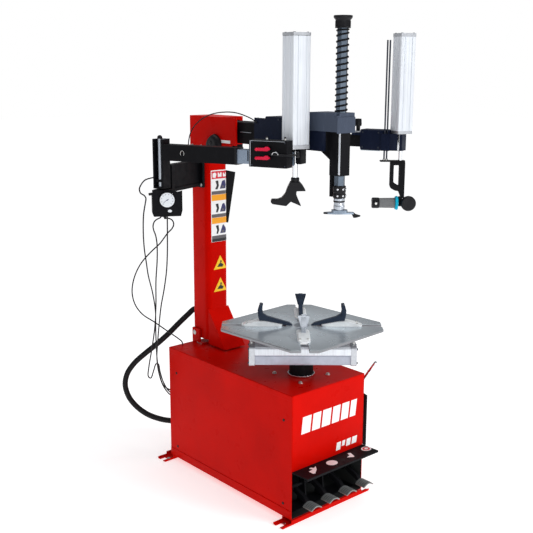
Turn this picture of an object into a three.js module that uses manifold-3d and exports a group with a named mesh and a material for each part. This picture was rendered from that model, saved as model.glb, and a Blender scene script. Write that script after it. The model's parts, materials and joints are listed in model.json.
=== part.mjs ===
// Tilt-back tyre changer with two assist arms.
// Millimetres, +Z up. The operator stands on the -Y side, at the pedals, and +X is their right.
// The origin is on the floor, on the machine's centre plane, under the front foot rail.
import * as THREE from "three";
import { mergeVertices } from "three/addons/utils/BufferGeometryUtils.js";
import Module from "manifold-3d";

const wasm = await Module();
wasm.setup();

// ---- driving dimensions ----
const GAP = 0.3; // left between pieces that touch
const RUN = 0.5; // left round what turns or slides

const CABINET = { half: 215, front: -15, back: 848, bottom: 22, top: 572, sheet: 3 };
const RAIL = { half: 265, depth: 60, height: 22, sheet: 4, front: -18, rear: 830, slot: 24 };
const OPENING_TOP = 238; // height of the pedal opening
const TABLE = { x: 0, y: 160, top: 792, thick: 13, flat: 284, corner: 345, slot: 31 };
const TABLE_TURN = -41.4; // degrees, direction of the first slot
const CLAMP = { half: 224, offset: 110, low: 657, high: 743, width: 84 };
const JAW = { rest: 168, inner: 84, outer: 258, width: 54, tip: 890 };
const COLUMN = { half: 62, front: 735, back: 865, low: 600, top: 1499.7, radius: 26, wall: 6 };
const TILT_PIN = { y: 830, z: 622, radius: 12 };
const HEAD = { half: 66, front: 630, cheekFront: 520, back: 857, low: 1500, top: 1658 };
const ARM = { half: 46, low: 1548, high: 1640, front: -14, back: 850 };
const SPINDLE = { y: -45, flats: 38, top: 2034, low: 1415, holder: 1318, cap: 2018 };
const LEFT_POST = { x: -338, y: 697, low: 1358, high: 1572 };
const GAUGE = { x: -332, y: 693, turn: -30, front: -30, back: 20, low: 1238, high: 1337.5 };
const LEFT_TURN = -69.26; // degrees, direction of the left assist arm
const LEFT_REACH = 643.7; // post to cylinder
const RIGHT_POST = { x: 165, y: 800 };
const RIGHT_TURN = -70.9;
const RIGHT_REACH = 830.8;
const TOOL_TURN = -41.4; // degrees, direction of the press roller's axle
const CYLINDER_TURN = { left: -30.1, right: -39.3 }; // degrees, set against their arms
const PEDAL_X = [-133, -26, 81, 188];
const PEDAL_SHAFT = { y: 62, z: 122, radius: 8 };
const BREAKER = { rodY: 430, rodZ: 330, pad: { y: [60, 250], z: [120, 420] } };
const HOSE = { conduit: 14, air: 3, thin: 2.5 }; // outside radii

const deg = THREE.MathUtils.degToRad;

// ---- finishes ----
const finish = (color, roughness, metalness) =>
  new THREE.MeshStandardMaterial({ color, roughness, metalness });
const RED = finish(0xc80d06, 0.3, 0.1);
const BLACK = finish(0x18181a, 0.5, 0.2);
const NAVY = finish(0x2b3340, 0.45, 0.3);
const SLATE = finish(0x6f7f96, 0.35, 0.6);
const ALUMINIUM = finish(0xe4e8ee, 0.3, 0.9);
const STEEL = finish(0x8d959c, 0.25, 1);
const CHROME = finish(0xdfe3e8, 0.08, 1);
const IRON = finish(0x4a4d50, 0.7, 0.6);
const RUBBER = finish(0x141414, 0.85, 0);
const LEVER_RED = finish(0xc8102e, 0.4, 0);

// ---- solids ----
// A closed geometry as a solid that can be cut and joined.
function solid(geometry) {
  const bare = new THREE.BufferGeometry().setAttribute("position", geometry.getAttribute("position"));
  if (geometry.index) bare.setIndex(geometry.index);
  const merged = mergeVertices(bare, 1e-4);
  return new wasm.Manifold(
    new wasm.Mesh({
      numProp: 3,
      vertProperties: merged.getAttribute("position").array,
      triVerts: new Uint32Array(merged.index.array),
    }),
  );
}

// The first solid with all the others joined to it, or cut from it.
const join = (...solids) => solids.reduce((a, b) => a.add(b));
const cut = (...solids) => solids.reduce((a, b) => a.subtract(b));

function box([x0, x1], [y0, y1], [z0, z1]) {
  const g = new THREE.BoxGeometry(x1 - x0, y1 - y0, z1 - z0);
  return solid(g.translate((x0 + x1) / 2, (y0 + y1) / 2, (z0 + z1) / 2));
}

// Lays an outline's first and second axis, and its depth, along the machine's axes.
const BASIS = {
  x: new THREE.Matrix4().set(0, 0, 1, 0, 1, 0, 0, 0, 0, 1, 0, 0, 0, 0, 0, 1),
  y: new THREE.Matrix4().set(1, 0, 0, 0, 0, 0, -1, 0, 0, 1, 0, 0, 0, 0, 0, 1),
  z: new THREE.Matrix4(),
};
const asPoint = ([u, v]) => new THREE.Vector2(u, v);

// An outline, drawn in the two axes that follow "axis" in order, extruded along it from a to b.
function prism(axis, outline, a, b, holes = []) {
  const shape = new THREE.Shape(outline.map(asPoint));
  for (const hole of holes) shape.holes.push(new THREE.Path(hole.map(asPoint)));
  const g = new THREE.ExtrudeGeometry(shape, { depth: b - a, bevelEnabled: false });
  g.translate(0, 0, axis === "y" ? -b : a);
  return solid(g.applyMatrix4(BASIS[axis]));
}

// A round bar between two points.
function bar(from, to, radius, sides = 20, radiusTo = radius) {
  const a = new THREE.Vector3(...from);
  const b = new THREE.Vector3(...to);
  const along = b.clone().sub(a);
  const g = new THREE.CylinderGeometry(radiusTo, radius, along.length(), sides);
  const up = new THREE.Vector3(0, 1, 0);
  g.applyQuaternion(new THREE.Quaternion().setFromUnitVectors(up, along.normalize()));
  return solid(g.translate(...a.add(b).multiplyScalar(0.5).toArray()));
}

// A profile of [radius, height] pairs turned round the vertical line through x, y.
function turned(profile, x, y, sides = 32) {
  const g = new THREE.LatheGeometry(profile.map(([r, z]) => new THREE.Vector2(r, z)), sides);
  return solid(g.rotateX(Math.PI / 2).translate(x, y, 0));
}

// A rectangle with rounded corners, as outline points.
function roundedRect(u0, u1, v0, v1, r, steps = 4) {
  const corners = [
    [u1 - r, v1 - r, 0],
    [u0 + r, v1 - r, 90],
    [u0 + r, v0 + r, 180],
    [u1 - r, v0 + r, 270],
  ];
  return corners.flatMap(([u, v, start]) =>
    Array.from({ length: steps + 1 }, (_, i) => {
      const a = deg(start + (90 * i) / steps);
      return [u + r * Math.cos(a), v + r * Math.sin(a)];
    }),
  );
}

// A hexagon with the given distance across its flats.
function hexagon(flats, cx = 0, cy = 0) {
  const r = flats / Math.sqrt(3);
  return Array.from({ length: 6 }, (_, i) => {
    const a = deg(60 * i + 30);
    return [cx + r * Math.cos(a), cy + r * Math.sin(a)];
  });
}

// A tube of the given radius along a smooth curve through hand-set points.
function hose(points, radius, steps, sides = 8) {
  const curve = new THREE.CatmullRomCurve3(points.map((p) => new THREE.Vector3(...p)));
  const ring = Array.from({ length: sides }, (_, i) => {
    const a = (2 * Math.PI * i) / sides;
    return new THREE.Vector2(radius * Math.cos(a), radius * Math.sin(a));
  });
  const along = { steps, extrudePath: curve, bevelEnabled: false };
  return solid(new THREE.ExtrudeGeometry(new THREE.Shape(ring), along));
}

const turnedBy = (s, degrees) => s.rotate([0, 0, degrees]);

// ---- scene graph ----
const machine = new THREE.Group();

function body(parent, x = 0, y = 0, z = 0, turn = 0) {
  const g = new THREE.Group();
  g.position.set(x, y, z);
  g.rotation.z = deg(turn);
  parent.add(g);
  return g;
}

function add(group, name, material, s) {
  const m = s.getMesh();
  const g = new THREE.BufferGeometry();
  g.setAttribute("position", new THREE.BufferAttribute(m.vertProperties, 3));
  g.setIndex(new THREE.BufferAttribute(m.triVerts, 1));
  g.computeVertexNormals();
  const mesh = new THREE.Mesh(g, material);
  mesh.name = name;
  group.add(mesh);
}

// ---- cabinet ----
function cabinet() {
  const { half, front, back, bottom, top, sheet } = CABINET;
  const inside = half - sheet - GAP;
  const under = top - sheet - GAP;
  const low = bottom + GAP;
  const shaftHole = bar([TABLE.x, TABLE.y, top - 20], [TABLE.x, TABLE.y, top + 20], 34, 32);
  const lid = box([-half, half], [front, back], [top - sheet, top]);
  add(machine, "cabinet_top", RED, lid.subtract(shaftHole));
  add(machine, "left_side_cover", RED, box([-half, -half + sheet], [front, back], [low, under]));
  const { rodY, rodZ, pad } = BREAKER;
  const rodHole = bar([half - 20, rodY, rodZ], [half + 20, rodY, rodZ], 18);
  const rubberPad = box([half - 1, half + 22], pad.y, pad.z);
  const side = box([half - sheet, half], [front, back], [low, under]);
  add(machine, "right_side_panel", RED, join(side, rubberPad).subtract(rodHole));
  const panel = (y0, z0) => box([-inside, inside], [y0, y0 + sheet], [z0, under]);
  add(machine, "front_panel", RED, panel(front, OPENING_TOP));
  add(machine, "rear_cover", RED, panel(back - sheet, low));
  const floor = box([-inside, inside], [front + 2, back - sheet - GAP], [low, low + sheet]);
  add(machine, "cabinet_floor", RED, floor);
}

// A foot rail is a shallow channel with an open anchor slot and lowered flanges at each end.
function footRail(name, y0) {
  const { half, depth, height, sheet, slot } = RAIL;
  const y1 = y0 + depth;
  const channel = prism(
    "x",
    [[y0, 0], [y1, 0], [y1, height], [y1 - sheet, height], [y1 - sheet, sheet], [y0 + sheet, sheet],
      [y0 + sheet, height], [y0, height]],
    -half,
    half,
  );
  const middle = y0 + depth / 2;
  const cuts = [-half, half].flatMap((end) => {
    const step = end - 20 * Math.sign(end);
    return [
      box([end - 28, end + 28], [middle - slot / 2, middle + slot / 2], [-1, height]),
      box([step - 30, step + 30], [y0 - 1, y1 + 1], [sheet + 6, height + 1]),
    ];
  });
  add(machine, name, RED, cut(channel, ...cuts));
}

// ---- pedals ----
function pedals() {
  const { front, half, bottom, sheet } = CABINET;
  const floor = bottom + GAP + sheet + GAP;
  const lip = 7;
  const shelf = prism(
    "x",
    [[front - GAP, 236], [front - GAP, 240], [-109, 243], [-110, 241], [-110, 241 - lip], [-107, 241 - lip],
      [-107, 239]],
    -half + 0.5,
    half - 0.5,
  );
  add(machine, "pedal_cover", BLACK, shelf);

  const { y, z, radius } = PEDAL_SHAFT;
  const cheekOutline = [[y - 30, floor], [y + 30, floor], [y + 16, z + 18], [y - 16, z + 18]];
  const cheek = (x) => prism("x", cheekOutline, x - 3, x + 3);
  const base = box([-205, 205], [y - 34, y + 34], [floor, floor + 4]);
  const shaft = bar([-200, y, z], [200, y, z], radius, 24);
  add(machine, "pedal_bracket", BLACK, join(base, shaft, cheek(-196), cheek(-80), cheek(27)));

  const names = ["clamp_pedal", "column_tilt_pedal", "bead_breaker_pedal", "turntable_pedal"];
  PEDAL_X.forEach((x, i) => add(body(machine), names[i], STEEL, pedal(x)));
}

// One pedal: a hub on the shaft, a bent arm and an arched tread.
function pedal(x) {
  const { y, z, radius } = PEDAL_SHAFT;
  const hub = bar([x - 16, y, z], [x + 16, y, z], radius + 7, 24);
  const arm = prism(
    "x",
    [[y + 8, z + 12], [-12, 104], [-34, 84], [-34, 66], [-8, 82], [y, z - 12]],
    x - 9,
    x + 9,
  );
  const crown = Array.from({ length: 9 }, (_, i) => {
    const t = i / 8;
    return [x - 31 + 62 * t, 75 + 12 * Math.sin(Math.PI * t)];
  });
  const hollow = crown.map(([u, v]) => [x + (u - x) * 0.92, v - 5]).reverse();
  const tread = prism("y", [...crown, ...hollow], -84, -30);
  const bore = bar([x - 20, y, z], [x + 20, y, z], radius + RUN, 24);
  return join(hub, arm, tread).subtract(bore);
}

// ---- drive ----
function drive() {
  const { x, y } = TABLE;
  const under = CABINET.top - CABINET.sheet - GAP;
  const housing = prism("z", roundedRect(x - 92, x + 92, y - 82, y + 82, 24), 396, 512);
  const boss = bar([x, y, 500], [x, y, under], 62, 32);
  const bore = bar([x, y, 526], [x, y, under + 5], 27, 32);
  const wormCase = bar([x - 120, y + 50, 430], [x + 110, y + 50, 430], 38, 24);
  add(machine, "gearbox", IRON, join(housing, boss, wormCase).subtract(bore));
  const motorBody = bar([-130, 440, 300], [60, 440, 300], 68, 24);
  const shoe = box([-120, 50], [395, 485], [222, 250]);
  const stand = box([-110, -90], [400, 480], [28.8, 240]);
  const standFar = box([20, 40], [400, 480], [28.8, 240]);
  // The belt and its two pulleys run inside the guard, from the motor shaft to the worm shaft.
  const guard = prism("x", roundedRect(y + 14, 486, 248, 478, 34), -166, -129);
  add(machine, "motor", IRON, join(motorBody, shoe, stand, standFar, guard));
}

// ---- turntable ----
function turntable() {
  const table = body(machine, TABLE.x, TABLE.y, 0, TABLE_TURN);
  const under = TABLE.top - TABLE.thick;
  const hub = turned(
    [[0, 534], [26, 534], [26, 573], [56, 573], [56, 582], [52, 584], [52, 650], [40, 652],
      [40, under - GAP], [0, under - GAP]],
    0,
    0,
  );
  add(table, "turntable_hub", BLACK, hub);
  add(table, "turntable_plate", STEEL, plate(under));
  add(table, "front_clamp_cylinder", ALUMINIUM, clampCylinder(-1, under));
  add(table, "rear_clamp_cylinder", ALUMINIUM, clampCylinder(1, under));
  for (let i = 0; i < 4; i++) {
    add(body(table, 0, 0, 0, 90 * i), "jaw_" + (i + 1), STEEL, jaw());
  }
}

// Eight-sided plate with four radial slots that open through the cut corners.
function plate(under) {
  const { top, flat, corner, slot } = TABLE;
  const half = corner * Math.SQRT2 - flat;
  const square = [
    [flat, -half], [flat, half], [half, flat], [-half, flat], [-flat, half], [-flat, -half],
    [-half, -flat], [half, -flat],
  ];
  const outline = square.map(([u, v]) => [(u - v) * Math.SQRT1_2, (u + v) * Math.SQRT1_2]);
  const disc = prism("z", outline, under, top);
  const way = box([66, corner + 20], [-slot / 2, slot / 2], [under - 1, top + 1]);
  return cut(disc, ...[0, 90, 180, 270].map((a) => turnedBy(way, a)));
}

// A jaw cylinder: a round-cornered profile with a cap at each end and a post up to the plate.
function clampCylinder(side, under) {
  const { half, offset, low, high, width } = CLAMP;
  const v = side * offset;
  const across = width / 2;
  const tube = roundedRect(v - across + 3, v + across - 3, low + 3, high - 3, 8);
  const profile = prism("x", tube, -half + 20, half - 20);
  const cap = (a, b) => prism("x", roundedRect(v - across, v + across, low, high, 12), a, b);
  const post = (u) => box([u - 22, u + 22], [v - 20, v + 20], [high - 10, under - GAP]);
  return join(profile, cap(-half, -half + 24), cap(half - 24, half), post(-70), post(70));
}

// A clamping jaw, drawn for the slot along +X: slide plate, stem in the slot, arm and upturned hook.
function jaw() {
  const { rest, inner, outer, width, tip } = JAW;
  const { top, slot } = TABLE;
  const plateTop = top + 7;
  const foot = roundedRect(inner, outer, -width / 2, width / 2, 20, 5);
  const slide = prism("z", foot, top + GAP, plateTop);
  const saddle = prism(
    "y",
    [[inner, plateTop - 1], [outer - 8, plateTop - 1], [outer - 12, plateTop + 3],
      [rest + 24, plateTop + 16], [rest - 10, plateTop + 14], [inner, plateTop]],
    -width / 2 + 5,
    width / 2 - 5,
  );
  const stem = box([rest - 50, rest + 40], [-slot / 2 + RUN, slot / 2 - RUN], [top - 20, top + 1]);
  const arm = prism(
    "y",
    [[inner - 44, plateTop - 5], [inner + 6, plateTop - 5], [inner + 60, plateTop - 1],
      [rest + 14, plateTop - 1], [rest + 18, plateTop + 36], [rest + 20, plateTop + 62],
      [rest + 12, tip - 8], [rest + 2, tip],
      [rest - 2, tip - 4], [rest + 3, tip - 24], [rest - 4, plateTop + 44], [inner - 30, plateTop + 4]],
    -9,
    9,
  );
  const wing = [[-12, plateTop + 38], [12, plateTop + 38], [25, tip - 4], [-25, tip - 4]];
  const fan = prism("x", wing, rest + 2, rest + 14);
  return join(slide, saddle, stem, arm, fan);
}

// ---- bead breaker ----
function beadBreaker() {
  const side = CABINET.half;
  const { rodY, rodZ } = BREAKER;
  const bore = bar([side - 150, rodY, rodZ], [side - CABINET.sheet - GAP, rodY, rodZ], 90, 32);
  const inner = bar([side - 140, rodY, rodZ], [side + 5, rodY, rodZ], 12 + RUN, 20);
  add(machine, "bead_breaker_cylinder", ALUMINIUM, bore.subtract(inner));
  const rod = body(machine);
  const clevis = box([side + 26, side + 42], [rodY - 15, rodY + 15], [rodZ - 12, rodZ + 12]);
  const shaft = bar([side - 120, rodY, rodZ], [side + 30, rodY, rodZ], 12, 20);
  add(rod, "bead_breaker_rod", CHROME, join(shaft, clevis));

  const hinge = join(
    box([side + GAP, side + 8], [660, 760], [260, 400]),
    box([side + 6, side + 75], [685, 735], [275, 285]),
    box([side + 6, side + 75], [685, 735], [375, 385]),
    bar([side + 48, 710, 268], [side + 48, 710, 392], 10, 20),
  );
  add(machine, "bead_breaker_hinge", RED, hinge);
  const swing = body(machine);
  const knuckle = bar([side + 48, 710, 290], [side + 48, 710, 370], 22, 24);
  const tubeOutline = [[side + 44, 706], [side + 84, 706], [side + 130, 150], [side + 84, 150]];
  const tube = prism("z", tubeOutline, 302, 358);
  const bracket = box([side + 84, side + 128], [112, 160], [290, 372]);
  const handle = join(
    bar([side + 112, 175, 350], [side + 112, 162, 392], 7, 12),
    bar([side + 112, 162, 388], [side + 112, 20, 588], 7, 12),
  );
  const hingeBore = bar([side + 48, 710, 250], [side + 48, 710, 410], 10 + RUN, 20);
  const rodRoom = box([side + 20, side + 47], [380, 480], [290, 372]);
  const blade = prism(
    "z",
    [[side + 64, 30], [side + 72, 28], [side + 92, 100], [side + 128, 100], [side + 128, 113],
      [side + 84, 113]],
    200,
    440,
  );
  const whole = join(knuckle, tube, bracket, handle, blade);
  add(swing, "bead_breaker_arm", BLACK, whole.subtract(hingeBore).subtract(rodRoom));
}

// ---- tilting column ----
function tiltBase() {
  const { top } = CABINET;
  const { y, z, radius } = TILT_PIN;
  const ear = (x) => box([x - 5, x + 5], [y - 38, y + 18], [top + GAP, z + 22]);
  const foot = box([-78, 78], [y - 60, y - 20], [top + GAP, top + 8]);
  const pin = bar([-76, y, z], [76, y, z], radius, 24);
  add(machine, "column_hinge", RED, join(ear(-70), ear(70), foot, pin));
  const ram = bar([0, 770, 190], [0, 770, 520], 45, 24);
  const rod = bar([0, 770, 515], [0, 770, 566], 11, 16);
  const lug = box([-20, 20], [755, 785], [28.8, 195]);
  add(machine, "tilt_cylinder", ALUMINIUM, join(ram, rod, lug));
}

function column(group) {
  const { half, front, back, low, top, radius, wall } = COLUMN;
  const outside = prism("z", roundedRect(-half, half, front, back, radius), low, top);
  const bore = roundedRect(-half + wall, half - wall, front + wall, back - wall, radius - wall);
  const hollow = prism("z", bore, low - 1, top + 1);
  const ramp = prism("x", [[front + 3, 752], [front + 3, 580], [612, 580]], -half + 1, half - 1);
  const rampRoom = prism("x", [[front + 4, 738], [front + 4, 579], [622, 579]], -half + 7, half - 7);
  const { y, z } = TILT_PIN;
  const pinHole = bar([-100, y, z], [100, y, z], TILT_PIN.radius + RUN, 24);
  const heel = prism("x", [[back + 1, low - 1], [back + 1, low + 22], [back - 24, low - 1]], -100, 100);
  const shell = join(outside.subtract(hollow), ramp.subtract(rampRoom));
  add(group, "column", RED, cut(shell, pinHole, heel));
}

// The head is a square sleeve for the main arm; its left cheek runs on forward as a plate.
function head(group) {
  const { half, front, cheekFront, back, low, top } = HEAD;
  const room = ARM.half + RUN + 1;
  const sleeve = box([-half, half], [front, back], [low, top]);
  const way = box([-room, room], [front - 1, back + 1], [ARM.low - 1, ARM.high + 1]);
  const cheek = box([-half, -half + 8], [cheekFront, front + 1], [low, top]);
  const raked = [[cheekFront - 1, low - 1], [735, low - 1], [700, low + 30], [cheekFront - 1, low + 38]];
  const lowFront = prism("x", raked, -half - 1, half + 1);
  add(group, "column_head", RED, cut(join(sleeve, cheek), way, lowFront));
}

// Outrigger on the column's left that carries the assist arm's post and the gauge box.
function leftBracket(group) {
  const { x, y } = LEFT_POST;
  const across = -COLUMN.half - x;
  const along = 800 - y;
  const angle = THREE.MathUtils.radToDeg(Math.atan2(along, across));
  const reach = Math.hypot(along, across);
  const outrigger = join(
    box([40, reach - 8], [-20, 20], [1352, 1456]),
    box([-30, reach - 20], [-26, 26], [1338, 1354]),
    box([40, 60], [-26, 26], [1338, 1456]),
    bar([0, 0, 1350], [0, 0, 1384], 11, 20),
  );
  const wallPlate = box([-COLUMN.half - 12, -COLUMN.half - GAP], [752, 848], [1332, 1476]);
  const placed = turnedBy(outrigger, angle).translate([x, y, 0]);
  add(group, "left_bracket", BLACK, join(placed, wallPlate));

  const { front, back, low, high } = GAUGE;
  const gaugeBody = prism(
    "y",
    [[-53, high], [-53, low + 14], [-48, low], [70, low], [77, low + 24], [77, high]],
    front,
    back,
  );
  const drain = bar([3, -5, low + 2], [3, -5, low - 16], 6, 16, 5);
  const gauge = turnedBy(join(gaugeBody, drain), GAUGE.turn);
  add(group, "gauge_box", BLACK, gauge.translate([GAUGE.x, GAUGE.y, 0]));
}

function rightBracket(group) {
  const { x, y } = RIGHT_POST;
  const side = COLUMN.half + GAP;
  const outline = [[side, 1155], [side + 8, 1155], [112, 1372], [115, 1392], [side, 1404]];
  const gusset = prism("y", outline, 745, 850);
  const inner = [[side + 6, 1180], [side + 8, 1180], [104, 1372], [104, 1386], [side + 6, 1394]];
  const hollow = prism("y", inner, 751, 856);
  const shelf = box([side, x + 34], [y - 34, y + 34], [1452, 1480]);
  const cheek = box([side, side + 8], [y - 34, y + 34], [1390, 1480]);
  const neck = bar([x, y, 1470], [x, y, 1530], 32, 24);
  const pin = bar([x, y, 1520], [x, y, 1592], 15, 20);
  add(group, "right_bracket", BLACK, join(gusset.subtract(hollow), cheek, shelf, neck, pin));
}

// ---- main arm and spindle ----
function mainArm(group) {
  const { half, low, high, front, back } = ARM;
  const beam = box([-half, half], [front, back], [low, high]);
  const passage = prism("z", hexagon(SPINDLE.flats + 2 * RUN, 0, SPINDLE.y), 1450, 1645);
  const guide = box([-27, 27], [SPINDLE.y - 27, front + 1], [1455, high]);
  const tail = box([-half + 6, half - 6], [150, back + 1], [low + 6, high - 6]);
  const lock = prism(
    "x",
    [[240, high - 1], [415, high - 1], [413, 1652], [352, 1656], [345, 1672], [250, 1672], [240, 1650]],
    -48,
    48,
  );
  const web = prism("x", [[front, low + 1], [front, 1514], [-2, 1514], [55, low + 1]], -14, 14);
  const spine = box([-14, 14], [-16, -3], [1368, low + 1]);
  const arm = join(beam.subtract(tail), lock, web, spine, guide);
  add(group, "main_arm", BLACK, arm.subtract(passage));

  const cover = prism(
    "y",
    [[-50, 1627], [-47, 1627], [-47, high + GAP], [47, high + GAP], [47, 1627], [50, 1627], [50, 1700],
      [-50, 1700]],
    -72,
    96,
  );
  const chamfer = prism("x", [[97, 1701], [78, 1701], [97, 1684]], -60, 60);
  const shaftHole = prism("z", hexagon(SPINDLE.flats + 2 * RUN, 0, SPINDLE.y), 1620, 1710);
  const noseLeft = box([-50, -36], [-73, -60], [1690, 1701]);
  add(group, "lock_cover", NAVY, cut(cover, chamfer, shaftHole, noseLeft));
}

function spindle(group) {
  const { y, flats, top, low } = SPINDLE;
  const { cap, holder } = SPINDLE;
  const capProfile = [
    [0, top], [22.6, top], [22.6, cap], [30, cap], [30, 2050], [36, 2056], [36.5, 2065], [0, 2065],
  ];
  add(group, "shaft_cap", BLACK, turned(capProfile, 0, y, 24));
  const collarProfile = [
    [0, holder], [20, holder], [22.5, 1322], [22.5, 1364], [26, 1368], [26, 1412], [23, low], [0, low],
  ];
  const collar = turned(collarProfile, 0, y, 24);
  add(group, "hex_shaft", STEEL, join(prism("z", hexagon(flats, 0, y), low - 1, top - GAP), collar));
  add(group, "duckhead", STEEL, turnedBy(duckhead(), TOOL_TURN).translate([0, y, 0]));
}

// The mount and demount head: a thin swept blade with a beak at each end under a rounded boss.
function duckhead() {
  const top = SPINDLE.holder - GAP;
  const boss = prism("z", roundedRect(-30, 34, -21, 18, 12), top - 10, top);
  const blade = prism(
    "z",
    [[-62, -6], [-46, -14], [-12, -22], [24, -20], [58, -12], [60, 6], [26, 14], [-8, 18], [-40, 12],
      [-60, 2]],
    top - 16,
    top - 9,
  );
  const beak = prism(
    "y",
    [[58, top - 31], [66, top - 31], [84, top - 26], [86, top - 22], [66, top - 16], [59, top - 9],
      [50, top - 16]],
    -10,
    4,
  );
  return join(boss, blade, beak);
}

// The spring stands between the cover and the cap; a thin sleeve takes the place of its turns.
function spring(group) {
  const { y } = SPINDLE;
  const low = 1700 + GAP;
  const high = SPINDLE.cap - GAP;
  const ring = [[23, low], [25.5, low], [25.5, high], [23, high], [23, low]];
  add(group, "spindle_spring", BLACK, turned(ring, 0, y, 24));
}

// ---- left assist arm ----
function leftArm(columnGroup) {
  const arm = body(columnGroup, LEFT_POST.x, LEFT_POST.y, 0, LEFT_TURN);
  const { low, high } = LEFT_POST;
  const channel = prism(
    "z",
    [[-27, -27], [-19, -27], [-19, 17], [19, 17], [19, -27], [27, -27], [27, 27], [-27, 27]],
    low,
    high,
  );
  const pivotHole = bar([0, 0, 1350], [0, 0, 1400], 11 + RUN, 20);
  const footPlate = box([-27, 27], [-27, 27], [low, low + 8]).subtract(pivotHole);
  const rod = bar([0, -9, low + 34], [0, -9, high + 10], 9, 20);
  const rodFoot = box([-20, 20], [-20, 18], [low + 28, low + 40]);
  const outer = box([26, 388], [-30, 30], [1482, 1550]);
  const beam = outer.subtract(box([34, 389], [-25, 25], [1487, 1545]));
  add(arm, "left_beam", BLACK, join(channel, footPlate, rodFoot, rod, beam));

  const slide = body(arm);
  const reach = LEFT_REACH;
  const inner = box([130, reach - 8], [-24.5, 24.5], [1487.5, 1544.5]);
  const hollow = box([129, reach - 60], [-20, 20], [1492, 1540]);
  const rodRoom = bar([reach, 0, 1480], [reach, 0, 1560], 18, 20);
  add(slide, "left_inner_tube", SLATE, cut(inner, hollow, rodRoom));
  const valveBox = box([493, 660], [-110, -58], [1488, 1594]);
  const boxRoom = box([497, 656], [-106, -62], [1487, 1590]);
  const spacer = box([493, 580], [-60, -25], [1492, 1540]);
  add(slide, "control_box", BLACK, join(valveBox.subtract(boxRoom), spacer));
  ["press_valve_lever", "lift_valve_lever"].forEach((name, i) => {
    const z = 1560 - 34 * i;
    const lever = join(
      bar([584, -110 - GAP, z], [584, -124, z], 8, 16),
      prism("y", roundedRect(532, 590, z - 6, z + 6, 5, 3), -132, -122),
    );
    add(body(slide), name, LEVER_RED, lever);
  });

  const press = body(slide, reach);
  const barrel = turnedBy(prism("z", roundedRect(-41, 41, -41, 41, 6, 2), 1571, 2005), CYLINDER_TURN.left);
  const endCap = turnedBy(prism("z", roundedRect(-43, 43, -43, 43, 8, 2), 1558, 1574), CYLINDER_TURN.left);
  const stem = box([-58, -12], [-24, 24], [1545, 1562]);
  const guard = box([14, 34], [-22, 30], [1498, 1560]);
  const rodBore = bar([0, 0, 1500], [0, 0, 1990], 11 + RUN, 20);
  add(press, "left_cylinder", ALUMINIUM, join(barrel, endCap, stem, guard).subtract(rodBore));
  const foot = turnedBy(prism("y", PRESS_FOOT, -22, 22), TOOL_TURN - LEFT_TURN);
  const pressRod = bar([0, 0, 1415], [0, 0, 1700], 11, 20);
  add(body(press), "bead_press_foot", BLACK, join(pressRod, foot));
}

// Side view of the bead press foot, round the rod's axis.
const PRESS_FOOT = [
  [-19, 1427], [-31, 1403], [-39, 1379], [-54, 1361], [-70, 1355], [-94, 1355], [-98, 1345], [-90, 1337],
  [-35, 1329], [-17, 1347], [-3, 1341], [25, 1329], [13, 1355], [5, 1375], [6, 1389], [43, 1390], [31, 1411],
  [17, 1427],
];

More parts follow.
